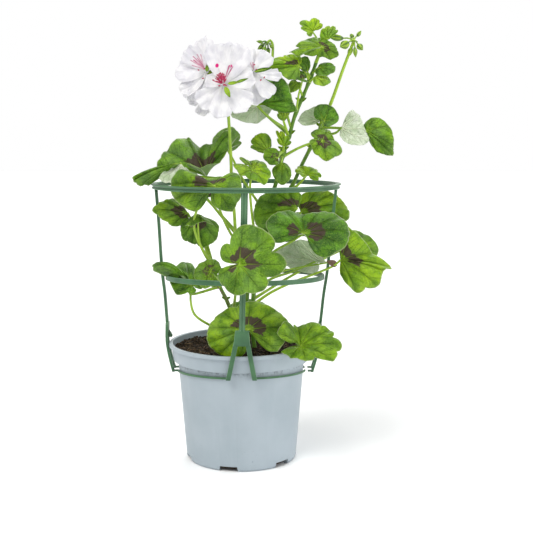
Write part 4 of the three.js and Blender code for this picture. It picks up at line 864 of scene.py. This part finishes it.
def crumb_form():
    """An eight-sided ball with each face split in four."""
    points = [axis * sign for axis in np.eye(3) for sign in (1, -1)]
    faces = [(0, 2, 4), (2, 1, 4), (1, 3, 4), (3, 0, 4), (2, 0, 5), (1, 2, 5), (3, 1, 5), (0, 3, 5)]
    middles, split = {}, []

    def middle(a, b):
        key = (min(a, b), max(a, b))
        if key not in middles:
            middles[key] = len(points)
            points.append(unit(points[a] + points[b]))
        return middles[key]

    for a, b, c in faces:
        ab, bc, ca = middle(a, b), middle(b, c), middle(c, a)
        split += [(a, ab, ca), (ab, b, bc), (ca, bc, c), (ab, bc, ca)]
    return np.array(points), split


def soil_crumbs(shape, rng):
    """Loose crumbs of peat, scattered evenly over the top."""
    points, faces = crumb_form()
    for _ in range(CRUMBS.crumbs):
        radius = SOIL.radius * math.sqrt(rng.uniform()) * 0.985
        angle = rng.uniform(0, TURN)
        x, y = radius * math.cos(angle), radius * math.sin(angle)
        size = CRUMBS.smallest + CRUMBS.spread * rng.uniform() ** 2.2
        rough = points * rng.uniform(0.6, 1.15, (len(points), 1)) * rng.uniform(0.6, 1.2, 3) * size
        if radius + size < SOIL.radius + CRUMBS.brim:
            centre = (x, y, float(soil_height(x, y)) + size * 0.25)
            shape.add(rough + centre, faces, look=(0, rng.uniform(), 0))


def soil_fibres(shape, rng):
    """Short bent fibres that lie on the peat."""
    for _ in range(CRUMBS.fibres):
        radius = (SOIL.radius - 6) * math.sqrt(rng.uniform())
        angle, heading = rng.uniform(0, TURN), rng.uniform(0, TURN)
        start = np.array([radius * math.cos(angle), radius * math.sin(angle), 0])
        ahead = np.array([math.cos(heading), math.sin(heading), 0])
        aside = np.array([-ahead[1], ahead[0], 0])
        length, bend = rng.uniform(2, 7), rng.uniform(-2, 2)
        line = []
        for t, lift in ((-0.5, -0.2), (-0.2, 0.7), (0.15, 0.9), (0.5, 0.1)):
            p = start + ahead * length * t + aside * bend * t * (1 - t) * 2
            line.append(p + (0, 0, float(soil_height(p[0], p[1])) + lift))
        tube(shape, smooth_path(line, 1.1), rng.uniform(0.1, 0.22), 5, (0, rng.uniform(0.5, 1), 0), 1)


def build_soil(materials):
    """The peat with its loose crumbs and fibres."""
    shape = Shape()
    rng = np.random.default_rng(CRUMBS.seed)
    soil_body(shape)
    soil_crumbs(shape, rng)
    soil_fibres(shape, rng)
    shape.build("peat_soil", materials, "peat", "soil")


# Profiles
def rounded(corners, radius, points=5):
    """An outline with each corner cut round. The third number of a point is 1 on a corner."""
    outline = []
    for i, corner in enumerate(corners):
        corner = np.array(corner, float)
        sides = [np.array(corners[(i + k) % len(corners)], float) - corner for k in (-1, 1)]
        before, after = (corner + side * min(radius / np.linalg.norm(side), 0.45) for side in sides)
        for t in np.linspace(0, 1, points):
            x, y = before * (1 - t) ** 2 + corner * 2 * t * (1 - t) + after * t**2
            outline.append((x, y, math.sin(math.pi * t)))
    return outline


def rectangle(low, high):
    """The corners of a rectangle from its lowest to its highest corner, counter-clockwise."""
    (left, bottom), (right, top) = low, high
    return [(left, bottom), (right, bottom), (right, top), (left, top)]


def lathe(shape, outline, segments, move=(0, 0, 0), tilt=0.0):
    """Turns a closed outline of radius, height and edge about +Z, tilts it about X and moves it."""
    turn = turns(segments)
    r, z, edge = (np.array(column)[:, None] for column in zip(*outline))
    x, y, z = r * np.cos(turn), r * np.sin(turn), z + 0 * turn
    c, s = math.cos(tilt), math.sin(tilt)
    points = np.stack([x, y * c - z * s, y * s + z * c], -1) + np.asarray(move, float)
    form = np.stack([edge + 0 * turn, z, r * turn], -1)
    shape.add(points, quads(numbers(len(outline), segments), 0, 1), form)


def loft(shape, rings, outline):
    """A closed body through rings of points that lie in order along it, with the edges of its outline."""
    rings = np.asarray(rings, float)
    count, sides = rings.shape[:2]
    run = np.linspace(0, 1, count)[:, None]
    form = np.stack(np.broadcast_arrays([edge for _, _, edge in outline], run, 0 * run), -1)
    shape.add(rings, body_faces(count, sides), form)


# Pot
# The radius of the pot's edges, and the angle from which an edge is shaded sharp
EDGE = 0.5
SHARP = 38
# How far the blocks that shape the drains reach past the wall, and past the pockets' roof
OVERCUT = Sizes(casing=4, pocket=5, below=2, above=4)


def pot_profile():
    """The pot's outer and inner outline, as radius and height."""
    p = POT
    lip = p.height - p.lip_height
    outer = [
        (p.wall_bottom - p.toe, 0), (p.wall_bottom, p.toe_height), (p.wall_top, p.band_z),
        (p.band_bottom, p.band_z), (p.band_top, lip), (p.lip_radius, lip), (p.lip_radius, p.height),
    ]
    inner = [
        (p.band_top - p.wall, p.height), (p.band_top - p.wall, lip),
        (p.band_bottom - p.wall, p.band_z + p.wall), (p.wall_top - p.wall, p.band_z + p.wall),
        (p.wall_bottom - p.wall, p.floor + 0.8), (p.wall_bottom - p.wall - 1, p.floor),
    ]
    return outer, inner


def turned(name, outline):
    """A turned body as a bare object. Its outline starts and ends close to the axis."""
    shape = Shape()
    lathe(shape, outline, POT.segments)
    return shape.bare(name)


def pocket_blocks(name, reaches, section):
    """A block at each drain pocket, from one reach to the other, with a four-cornered section."""
    shape = Shape()
    for k in range(POCKET.count):
        angle = math.radians(POCKET.first + k * 360 / POCKET.count - 90)
        c, s = math.cos(angle), math.sin(angle)
        points = [(reach * c - across * s, reach * s + across * c, height)
                  for reach in reaches for across, height in section]
        shape.add(points, body_faces(2, 4))
    return shape.bare(name)


def pocket_section(grow):
    """The section of a drain pocket, wider at its foot, grown by a wall."""
    low, high, top = POCKET.bottom / 2 + grow, POCKET.top / 2 + grow, POCKET.height + grow
    return [(-low, -1), (low, -1), (high, top), (-high, top)]


def combine(piece, operation, other):
    """Joins, cuts or crosses piece with another closed object, which is then removed."""
    modifier = piece.modifiers.new(operation, "BOOLEAN")
    modifier.operation = operation
    modifier.solver = "MANIFOLD"
    modifier.object = other
    bpy.context.view_layer.update()
    evaluated = piece.evaluated_get(bpy.context.evaluated_depsgraph_get())
    mesh = bpy.data.meshes.new_from_object(evaluated)
    piece.modifiers.clear()
    piece.data = mesh
    bpy.data.objects.remove(other)


def build_pot(material):
    """The turned pot, with the drain pockets cut into its foot and their roofs inside it."""
    outer, inner = pot_profile()
    pot = turned("pot_body", rounded([(0.02, 0), *outer, *inner, (0.02, POT.floor)], EDGE))
    filled = turned("filled", [(r, z, 0) for r, z in ((0.01, 0), *outer, (0.01, POT.height))])
    reach = POT.wall_bottom - POCKET.depth
    past = (reach - POT.wall, POT.wall_bottom + OVERCUT.casing)
    casings = pocket_blocks("casings", past, pocket_section(POT.wall))
    combine(casings, "INTERSECT", filled)
    combine(pot, "UNION", casings)
    past = (reach, POT.wall_bottom + OVERCUT.pocket)
    combine(pot, "DIFFERENCE", pocket_blocks("pockets", past, pocket_section(0)))
    middle, half, across = reach + POCKET.depth / 2, POCKET.hole_depth / 2, POCKET.hole_width / 2
    slot = rectangle((-across, POCKET.height - OVERCUT.below), (across, POCKET.height + OVERCUT.above))
    combine(pot, "DIFFERENCE", pocket_blocks("drains", (middle - half, middle + half), slot))
    pot.data.materials.clear()
    pot.data.materials.append(material)
    pot.data.shade_smooth()
    pot.data.set_sharp_from_angle(angle=math.radians(SHARP))
    place(pot, "pot_plastic", "pot")


# Ring support
def build_top_ring(material):
    """A flat ring with a stepped rib under it."""
    height = SUPPORT.ring_top
    corners = [(SUPPORT.ring_top_radius + out, z) for out, z in RING_SECTION]
    shape = Shape()
    lathe(shape, rounded(corners, 0.38), SUPPORT.segments, (LEAN * height, 0, height))
    shape.build("top_ring", [material], "support_plastic", "ring_top")


def band(radius, thick, height, round_edge):
    """The outline of an upright band."""
    return rounded(rectangle((radius - thick, -height / 2), (radius, height / 2)), round_edge)


def build_middle_ring(material):
    """An upright band, tilted down at one side."""
    s = SUPPORT
    shape = Shape()
    outline = band(s.middle_radius, s.middle_thick, s.middle_height, 0.5)
    lathe(shape, outline, s.segments, (s.middle_shift, 0, s.middle), -math.radians(s.middle_tilt))
    shape.build("middle_ring", [material], "support_plastic", "ring_middle")


def build_clamps(material):
    """The short arcs round the pot under its band, lower at the back."""
    s = SUPPORT
    outline = band(s.arc_radius, s.arc_thick, s.arc_height, 0.25)
    r, z, _ = np.array(outline).T
    rise = math.tan(math.radians(s.arc_tilt))
    for name, (start, end) in ARCS.items():
        angle = np.radians(np.linspace(end, start, 41))[:, None]
        y = r * np.sin(angle)
        shape = Shape()
        loft(shape, np.stack([s.arc_shift + r * np.cos(angle), y, s.arc + z - rise * y], -1), outline)
        shape.build("band_" + name, [material], "support_plastic", "clamp_" + name)


# The narrower ends of a bar: their width as a share of the bar's and how far they stand out
CAP = Sizes(width=0.86, out=0.25)


def bar(shape, path, outline, turned_by, end_width=1, offset=lambda height: 0):
    """A bar down a path of radius and height, with an outline of across, out and edge."""
    line = smooth_path([(r, 0, z) for r, z in path], 2.5)
    across, out, _ = np.array(outline).T
    wide = np.linspace(1, end_width, len(line))
    rings = [np.stack([r + out, across * width + offset(z), 0 * out + z], -1)
             for (r, _, z), width in zip(line, wide)]
    caps = [ring.mean(0) + (ring - ring.mean(0)) * CAP.width for ring in (rings[0], rings[-1])]
    rings = [caps[0] + (0, 0, CAP.out), *rings, caps[1] - (0, 0, CAP.out)]
    loft(shape, turned_by(np.array(rings)), outline)


def block(shape, low, high, turned_by, radius=0.3):
    """A box with rounded edges between two corners."""
    low, high = np.array(low, float), np.array(high, float)
    outline = rounded(rectangle(low[1:], high[1:]), radius)
    middle = (low + high)[1:] / 2
    rings = []
    for x, size in ((low[0], 0.8), (low[0] + radius, 1), (high[0] - radius, 1), (high[0], 0.8)):
        rings.append([(x, *(middle + (np.array([y, z]) - middle) * size)) for y, z, _ in outline])
    loft(shape, turned_by(np.array(rings)), outline)


def build_post(shape, azimuth, lift, spread):
    """A grooved bar, a block under it, two spread legs with toes, a tab at the ring and a stop."""
    s = SUPPORT
    angle = math.radians(azimuth)

    def turned_by(points):
        x, y, z = (points[..., k] for k in range(3))
        wide = x * math.cos(angle) - y * math.sin(angle) + LEAN * z
        return np.stack([wide, x * math.sin(angle) + y * math.cos(angle), z], -1)

    def plate(width, thick, radius):
        return rounded(rectangle((-width / 2, -thick / 2), (width / 2, thick / 2))[::-1], radius)

    w, t = s.bar_width / 2, s.bar_thick / 2
    lip = w * 0.56
    grooved = [
        (-w, t), (-lip, t), (0.3 - lip, t - s.groove), (lip - 0.3, t - s.groove), (lip, t), (w, t),
        (w, -t), (-w, -t),
    ]
    raised = [(r, z + (lift if i > 1 else 0)) for i, (r, z) in enumerate(BAR_PATH)]
    bar(shape, raised, rounded(grooved, 0.3), turned_by)
    (high, high_half), (low, low_half) = s.block
    ends = [(s.block_reach, z + lift) for z in (high, low)]
    bar(shape, ends, plate(high_half * 2, s.block_thick, 0.5), turned_by, low_half / high_half)
    slope = (spread - s.leg_spread) / (s.leg_top - s.foot)
    for side in (-1, 1):
        def splay(height, side=side):
            return side * (s.leg_spread + slope * (s.leg_top - (height - lift)))

        legs = [(r, z + lift) for r, z in LEG_PATH]
        bar(shape, legs, plate(s.leg_width, s.leg_thick, 0.4), turned_by, offset=splay)
        middle, half, foot = splay(s.foot + lift), s.toe_width / 2, s.foot + lift
        toe = (s.toe_reach, middle - half, foot + 0.05), (LEG_PATH[-1][0], middle + half, foot + 1.25)
        block(shape, *toe, turned_by)
    (inner, outer), (below, above) = s.tab, s.tab_drop
    block(shape, (inner, -w, s.ring_top - below), (outer, w, s.ring_top - above), turned_by)
    outline = rounded(STOP_OUTLINE, 0.5)
    rings = [[(r, y, z + lift) for r, z, _ in outline] for y in (-s.stop_width / 2, s.stop_width / 2)]
    loft(shape, turned_by(np.array(rings)), outline)


def build_uprights(material):
    """The four uprights."""
    for name, sizes in UPRIGHTS.items():
        shape = Shape()
        build_post(shape, *sizes)
        shape.build("post_" + name, [material], "support_plastic", "upright_" + name)


# Materials
def srgb(red, green, blue):
    """A colour from 0 to 255 as the linear colour that a shader takes."""
    channels = [c / 255 for c in (red, green, blue)]
    return tuple(c / 12.92 if c < 0.04045 else ((c + 0.055) / 1.055) ** 2.4 for c in channels) + (1.0,)


def sum_of(operation, swapped=False):
    """An operator that makes a math node of a value and another value or number."""
    def make(self, other):
        return self.graph.math(operation, *((other, self) if swapped else (self, other)))

    return make


class Value:
    """A node's output that sums and products can be made of."""

    __add__, __radd__ = sum_of("ADD"), sum_of("ADD", swapped=True)
    __sub__, __rsub__ = sum_of("SUBTRACT"), sum_of("SUBTRACT", swapped=True)
    __mul__ = __rmul__ = sum_of("MULTIPLY")
    __truediv__ = sum_of("DIVIDE")

    def __init__(self, graph, socket):
        self.graph, self.socket = graph, socket


class Graph:
    """Short names for the nodes of one material. Lengths are in millimetres."""

    def __init__(self, name):
        self.material = bpy.data.materials.new(name)
        self.material.use_nodes = True
        self.nodes = self.material.node_tree.nodes
        self.links = self.material.node_tree.links
        self.nodes.clear()
        self.place = self.scaled(self.node("TexCoord").outputs["Object"], (1000, 1000, 1000))

    def node(self, kind, inputs=(), **settings):
        """A node with its settings and its inputs, which are given by name or by number."""
        node = self.nodes.new("ShaderNode" + kind)
        for name, value in settings.items():
            setattr(node, name, value)
        for key, value in dict(inputs).items():
            if isinstance(value, Value):
                self.links.new(value.socket, node.inputs[key])
            elif isinstance(value, bpy.types.NodeSocket):
                self.links.new(value, node.inputs[key])
            else:
                node.inputs[key].default_value = value
        return node

    def scaled(self, vector, scale):
        return self.node("VectorMath", {0: vector, 1: scale}, operation="MULTIPLY").outputs[0]

    def vector(self, x, y, z):
        return self.node("CombineXYZ", {0: x, 1: y, 2: z}).outputs[0]

    def split(self, vector):
        return [Value(self, output) for output in self.node("SeparateXYZ", {0: vector}).outputs]

    def attribute(self, name):
        return self.split(self.node("Attribute", attribute_name=name).outputs["Vector"])

    def math(self, operation, *values):
        return Value(self, self.node("Math", enumerate(values), operation=operation).outputs[0])

    def step(self, value, low, high):
        """A smooth step from 0 at low to 1 at high."""
        inputs = {"Value": value, "From Min": low, "From Max": high}
        return Value(self, self.node("MapRange", inputs, interpolation_type="SMOOTHSTEP").outputs[0])

    def mix(self, share, a, b):
        """From a to b. Each is a colour from 0 to 255 or a node's output."""
        a, b = (srgb(*colour) if isinstance(colour, tuple) else colour for colour in (a, b))
        return self.node("Mix", {0: share, 6: a, 7: b}, data_type="RGBA").outputs[2]

    def layers(self, colour, *layers):
        """A colour under layers, each with the share of it that shows and its own colour."""
        for share, over in layers:
            colour = self.mix(share, colour, over)
        return colour

    def noise(self, size, detail=2, rough=0.5, vector=None):
        inputs = {"Vector": vector or self.place, "Scale": 1 / size, "Detail": detail, "Roughness": rough}
        return Value(self, self.node("TexNoise", inputs).outputs["Fac"])

    def cells(self, size, feature):
        inputs = {"Vector": self.place, "Scale": 1 / size}
        return Value(self, self.node("TexVoronoi", inputs, feature=feature).outputs["Distance"])

    def finish(self, colour, roughness, height=0.0, relief=1.0, through=0.0, **settings):
        """Joins the colour, roughness and a height in millimetres to the surface."""
        bump = self.node("Bump", {"Strength": relief, "Distance": MM, "Height": height}).outputs[0]
        inputs = {"Base Color": colour, "Roughness": roughness, "Normal": bump}
        inputs.update({name.replace("_", " "): value for name, value in settings.items()})
        surface = self.node("BsdfPrincipled", inputs).outputs[0]
        if through:
            behind = self.node("BsdfTranslucent", {"Color": colour, "Normal": bump}).outputs[0]
            surface = self.node("MixShader", {0: through, 1: surface, 2: behind}).outputs[0]
        self.node("OutputMaterial", {0: surface})
        return self.material


def leaf_material():
    """Green blades with sunk veins, a ragged brown zone, a thin pale rim and a pale underside. Painted
    shade darkens the valleys beside the ribs and partly the outer veins, a grey-green mottle is partly a
    painted sheen, the rim is partly a painted highlight, and low-tone undersides are paler partly as
    painted light.
    """
    g = Graph("leaf_blade")
    rib, along, reach = g.attribute("form")
    side, tone, zone = g.attribute("look")
    broad, fine, blotch = g.noise(11, 3), g.noise(1.1, 3, 0.65), g.noise(4.5, 3, 0.6)
    foot = g.step(reach, 0.62, 0.16)
    main = g.step(rib / (1.15 - reach * 0.75), 0.85, 0.15) * g.step(reach, 1.05, 0.6)
    lean = g.math("PINGPONG", along - rib * 1.2 + (blotch - 0.5) * 2.2, 2.7)
    branch = g.step(lean, 0.34, 0.02) * g.step(rib, 0.2, 1.2) * g.step(reach, 0.15, 0.4)
    net = g.step(g.cells(1.9, "DISTANCE_TO_EDGE"), 0.12, 0)
    # Painted shade: the valleys beside the ribs, away from the foot, are darkened
    painted_valley_shade = g.step(rib, 4.2, 0) * g.step(reach, 0.25, 0.6)
    ragged = (g.noise(3.2, 4, 0.65) - 0.5) * 0.55
    near = g.math("MINIMUM", rib, 4)
    inner = 0.15 + near * 0.008 - ragged * 0.16
    outer = 0.47 - near * 0.012 + ragged * 0.55
    band = g.step(reach - inner, -0.02, 0.02) * g.step(reach - outer, 0.02, -0.02)
    brown = band * g.step(zone + ragged * 0.9, 0.42, 0.54) * (1 - main * foot * 0.85)
    old = g.mix(g.step(broad + (fine - 0.5) * 0.4, 0.34, 0.66), (44, 94, 0), (100, 158, 10))
    young = g.mix(g.step(broad, 0.35, 0.65), (132, 182, 0), (190, 226, 24))
    upper = g.layers(
        g.mix(g.step(tone + (blotch - 0.5) * 0.24, 0.15, 0.95), old, young),
        # a grey-green waxy mottle, which is partly a painted sheen
        (g.step(g.noise(17), 0.46, 0.64) * 0.26, (128, 168, 96)),
        # painted shade in the valleys beside the ribs
        (painted_valley_shade * 0.3, (34, 78, 0)),
        (main * foot * 0.85, (172, 204, 70)),
        # dark outer veins: partly their own colour, partly painted shade in their sunk grooves
        (main * (1 - foot) * 0.55, (34, 74, 4)),
        (branch * 0.42, (34, 74, 4)),
        (net * 0.2, (150, 184, 66)),
        (g.step(fine, 0.54, 0.74) * 0.4, (166, 200, 92)),
        (g.step(fine, 0.46, 0.28) * 0.4, (28, 66, 2)),
        (brown * 0.95, g.mix(fine, (58, 42, 34), (92, 72, 62))),
        # the pale rim: the margin's hairs, and partly a painted rim highlight
        (g.step(reach, 0.965, 0.996) * 0.6, (204, 216, 158)),
    )
    under = g.layers(
        g.mix(g.step(broad, 0.3, 0.7), (210, 228, 190), (250, 254, 240)),
        # the lower the tone below 0.4, the paler the underside; this paleness is partly painted light
        (g.step(tone, 0.02, 0.4), g.mix(broad, (104, 144, 62), (152, 188, 98))),
        (main * 0.6, (236, 240, 212)),
        ((branch + net * 0.5) * 0.4, (132, 164, 104)),
    )
    grooves = main * 0.5 + branch * 0.34 + net * 0.1
    height = (fine - 0.5) * 0.26 + (broad - 0.5) * 0.7 - grooves * (side * 2 - 1)
    return g.finish(
        g.mix(side, under, upper), 0.36 + fine * 0.2, height, through=0.3, Specular_IOR_Level=0.38,
        Sheen_Weight=0.05, Sheen_Roughness=0.4, Sheen_Tint=srgb(206, 226, 190),
    )


def stem_material():
    """Green stems with fine lengthwise ridges, yellower where they are young."""
    g = Graph("green_stem")
    around, along, _ = g.attribute("form")
    _, tone, _ = g.attribute("look")
    patch, lines = g.noise(6, 3), g.noise(0.6, vector=g.vector(around, along * 0.06, 0))
    old = g.mix(patch, (58, 104, 12), (96, 146, 26))
    young = g.mix(patch, (140, 184, 22), (184, 214, 66))
    colour = g.mix(g.step(tone + (patch - 0.5) * 0.3, 0.2, 0.9), old, young)
    colour = g.mix(g.step(lines, 0.5, 0.8) * 0.3, colour, (196, 214, 120))
    return g.finish(
        colour, 0.46, (lines - 0.5) * 0.22, 0.8, through=0.12, Specular_IOR_Level=0.45,
        Sheen_Weight=0.2, Sheen_Roughness=0.5,
    )


def bud_material():
    """Yellow-green buds with painted shade in their furrows, a dark foot, and a thin pale ridge."""
    g = Graph("green_bud")
    ridge, _, share = g.attribute("form")
    _, tone, _ = g.attribute("look")
    patch = g.noise(1.2, 3)
    dark = g.mix(tone, (44, 84, 26), (78, 122, 30))
    light = g.mix(tone, (112, 152, 20), (170, 204, 30))
    # Painted shade: darker down the furrows between the ridges, and darker towards the foot
    colour = g.mix(g.step(ridge + (patch - 0.5) * 1.6, 0.6, 3.2) * g.step(share, 0.04, 0.3), dark, light)
    colour = g.mix(g.step(ridge, 4.5, 5) * 0.4, colour, (214, 224, 150))
    relief = (patch - 0.5) * 0.2
    return g.finish(colour, 0.45, relief, 0.8, through=0.15, Sheen_Weight=0.2, Sheen_Roughness=0.5)


def dry_material():
    """A dried brown thread or scale."""
    g = Graph("dried_brown")
    colour = g.mix(g.noise(1.5, 3), (96, 72, 58), (146, 118, 100))
    return g.finish(colour, 0.75, (g.noise(0.8, 3) - 0.5) * 0.3)


def painted(g, mark, strokes, across, along):
    """How much a point of the numbered petals lies on one of their soft strokes."""
    total = 0
    for number, rows in strokes.items():
        here = g.math("COMPARE", mark, number, 0.4)
        for (ax, ay), (bx, by), width, strength in rows:
            dx, dy = bx - ax, by - ay
            px, py = across - ax, along - ay
            share = (px * dx + py * dy) / (dx * dx + dy * dy)
            share = g.math("MAXIMUM", g.math("MINIMUM", share, 1), 0)
            ex, ey = px - share * dx, py - share * dy
            away = g.math("SQRT", ex * ex + ey * ey)
            total = g.math("MAXIMUM", here * g.step(away, width, width * 0.25) * strength, total)
    return total


def petal_material():
    """White petals with fine lengthwise veins, cool shade in the throat, painted soft shade in a grey
    mottle and along the creases, and a few crimson strokes.
    """
    g = Graph("white_petal")
    across, along, reach = g.attribute("form")
    _, mark, _ = g.attribute("look")
    spread = across / (0.25 + reach * 0.75)
    veins = g.noise(0.75, vector=g.vector(spread, along * 0.05, mark))
    crease = g.noise(2.4, 3, 0.6, g.vector(spread, along * 0.3, mark))
    feather = g.noise(0.8, 3, 0.6, g.vector(spread, along * 0.25, 0)) - 0.5
    cloud = g.noise(7, 3)
    lines = painted(g, mark, STROKES, across, along) * (0.85 + feather * 1.8)
    colour = g.layers(
        # Painted soft shade: the mottle is greyer where the bump dips
        g.mix(g.step(cloud, 0.3, 0.7), (230, 229, 234), (249, 248, 249)),
        (g.step(reach, 0.4, 0) * 0.5, (210, 211, 200)),
        (g.step(veins, 0.52, 0.75) * 0.24, (202, 201, 214)),
        # painted shade along the crease lines
        (g.step(crease, 0.56, 0.74) * 0.2, (196, 198, 208)),
        (g.math("MINIMUM", lines, 1), (190, 52, 122)),
        (g.step(painted(g, mark, SPOTS, across, along), 0.2, 0.7), (226, 14, 132)),
    )
    height = (veins - 0.5) * 0.4 + (cloud - 0.5) * 0.7 + (crease - 0.5) * 0.3
    return g.finish(
        colour, 0.55, height, 0.75, through=0.35, Specular_IOR_Level=0.35,
        Sheen_Weight=0.2, Sheen_Roughness=0.5,
    )


def anther_material():
    """Crimson anthers with a grainy skin."""
    g = Graph("crimson_anther")
    colour = g.mix(g.noise(0.5, 3), (128, 16, 52), (196, 48, 96))
    return g.finish(colour, 0.55, (g.noise(0.35) - 0.5) * 0.2)


def soil_material():
    """Dark brown peat, darker and lighter in random patches, and dusty on the crumbs."""
    g = Graph("peat_ground")
    _, shade, _ = g.attribute("look")
    grain, clod = g.noise(0.5, 4, 0.65), g.noise(3.2, 4, 0.6)
    colour = g.mix(g.step(clod + (grain - 0.5) * 0.6, 0.35, 0.68), (22, 17, 11), (62, 50, 34))
    colour = g.mix(g.step(shade, 0.5, 1) * 0.5, colour, (104, 84, 64))
    return g.finish(colour, 0.9, (grain - 0.5) * 0.6 + (clod - 0.5) * 0.8, 0.9, Specular_IOR_Level=0.2)


def fibre_material():
    """Peat fibres, some dark and some straw-coloured."""
    g = Graph("peat_fibre")
    _, shade, _ = g.attribute("look")
    colour = g.mix(g.step(shade, 0.55, 1), (74, 52, 36), (150, 122, 88))
    return g.finish(g.mix(g.noise(1) * 0.4, colour, (50, 36, 28)), 0.8)


def pot_material():
    """Matt blue-grey plastic with specks, soil by the rim, painted shade with some grime under the band,
    and pits by the foot.
    """
    g = Graph("pot_plastic")
    _, _, height = g.split(g.place)
    broad, grain = g.noise(34, 3), g.noise(0.45)
    streak = g.noise(5, 3, vector=g.scaled(g.place, (1, 1, 0.06)))
    # Painted shade with some grime: a patchy dark strip just under the band, where its shadow falls
    shade_and_grime = g.step(g.noise(3, 4, 0.7, g.scaled(g.place, (1, 1, 0.5))), 0.42, 0.66)
    shade_and_grime = shade_and_grime * g.step(height, 78.5, 82.5) * g.step(height, 84.4, 83.6)
    pits = g.step(g.noise(0.9, 1), 0.71, 0.75) * g.step(g.noise(16, 1), 0.5, 0.58) * g.step(height, 26, 14)
    speck = g.step(g.cells(6.5, "F1"), 0.055, 0.035) * g.step(g.noise(9), 0.52, 0.6)
    dirt = g.step(g.noise(2.1, 4, 0.7), 0.6, 0.74) * g.step(height, 88, 97)
    colour = g.layers(
        g.mix(g.step(broad, 0.3, 0.7), (151, 163, 171), (160, 171, 179)),
        (g.step(streak, 0.5, 0.78) * 0.06, (196, 204, 212)),
        (shade_and_grime * 0.6, (66, 70, 66)),
        (pits * 0.7, (70, 84, 98)),
        (speck * 0.6 + dirt * 0.35, (92, 78, 62)),
    )
    relief = (grain - 0.5) * 0.07 + (broad - 0.5) * 0.3
    return g.finish(colour, 0.4 + grain * 0.16, relief, 0.5, Specular_IOR_Level=0.42)


def support_material():
    """Green moulded plastic with a painted highlight along its rounded edges, and scuffed."""
    g = Graph("support_plastic")
    edge, _, _ = g.attribute("form")
    broad, grain = g.noise(14, 3), g.noise(0.5, 3)
    scuff = g.noise(2.4, 4, 0.7, g.scaled(g.place, (1, 1, 0.3)))
    colour = g.layers(
        g.mix(g.step(broad, 0.3, 0.7), (44, 86, 54), (62, 106, 68)),
        # Painted highlight along the rounded edges
        (g.step(edge + (grain - 0.5) * 0.8, 0.35, 1) * 0.36, (146, 178, 146)),
        (g.step(scuff, 0.6, 0.72) * 0.22, (120, 152, 128)),
    )
    return g.finish(colour, 0.34 + grain * 0.2, (grain - 0.5) * 0.06, 0.5, Specular_IOR_Level=0.5)


# Studio
FLOOR = Sizes(half=6000, points=25, height=-0.02)
# The strength of the world's light, as a share of its brightness behind the plant
AROUND = 0.46
# The lamps: azimuth from the front of the plant to its right, height, strength, softness and colour
SUNS = dict(
    key=(-38, 54, 2.35, 36, (1, 0.99, 0.95)),
    fill=(78, 10, 1.5, 50, (0.98, 0.99, 1)),
    low=(24, 4, 0.5, 40, (1, 1, 0.97)),
    back=(165, 38, 1.5, 40, (1, 1, 0.97)),
)
CAMERA = Sizes(at=(0.02119, -0.80874, 0.27087), pitch=82.265, lens=66.456, sensor=36, near=0.05)


def build_floor():
    """A plain pale floor that runs out past the edge of the picture."""
    shape = Shape()
    x, y = np.meshgrid(*[np.linspace(-FLOOR.half, FLOOR.half, FLOOR.points)] * 2)
    shape.add(np.stack([x, y, 0 * x + FLOOR.height], -1), quads(numbers(FLOOR.points, FLOOR.points)))
    g = Graph("pale_floor")
    tint = g.mix(g.noise(260, 3), (240, 241, 243), (246, 247, 248))
    floor = shape.bare("floor")
    floor.data.materials.append(g.finish(tint, 0.85, (g.noise(3, 3) - 0.5) * 0.05, 0.4))


def put(name, data, turn, at=(0, 0, 0)):
    """Puts a lamp or a camera in the scene, turned by angles in degrees."""
    piece = bpy.data.objects.new(name, data)
    piece.location = at
    piece.rotation_euler = [math.radians(angle) for angle in turn]
    bpy.context.scene.collection.objects.link(piece)
    return piece


def build_lights():
    """Soft distant lamps, and a white world that is dimmer as a light than as a background."""
    world = bpy.data.worlds.new("studio")
    bpy.context.scene.world = world
    world.use_nodes = True
    nodes, links = world.node_tree.nodes, world.node_tree.links
    seen, around = nodes["Background"], nodes.new("ShaderNodeBackground")
    both, path = nodes.new("ShaderNodeMixShader"), nodes.new("ShaderNodeLightPath")
    for background, strength in ((seen, 1), (around, AROUND)):
        background.inputs["Color"].default_value = (1, 1, 1, 1)
        background.inputs["Strength"].default_value = strength
    links.new(path.outputs["Is Camera Ray"], both.inputs[0])
    links.new(around.outputs[0], both.inputs[1])
    links.new(seen.outputs[0], both.inputs[2])
    links.new(both.outputs[0], nodes["World Output"].inputs[0])
    for name, (azimuth, height, strength, softness, colour) in SUNS.items():
        light = bpy.data.lights.new(name, "SUN")
        light.energy, light.angle, light.color = strength, math.radians(softness), colour
        put(name, light, (90 - height, 0, azimuth))


def build_camera():
    """The camera at the photograph's viewing angle."""
    data = bpy.data.cameras.new("camera")
    data.sensor_width, data.lens, data.clip_start = CAMERA.sensor, CAMERA.lens, CAMERA.near
    bpy.context.scene.camera = put("camera", data, (CAMERA.pitch, 0, 0), CAMERA.at)


# The whole scene
green = [leaf_material(), stem_material(), bud_material(), dry_material()]
support = support_material()
build_pot(pot_material())
build_soil([soil_material(), fibre_material()])
build_top_ring(support)
build_middle_ring(support)
build_clamps(support)
build_uprights(support)
build_left_shoot(green)
build_right_shoot(green)
build_tall_shoot(green)
build_florets([petal_material(), anther_material()])
build_floor()
build_lights()
build_camera()
bpy.context.scene.view_settings.view_transform = "Standard"
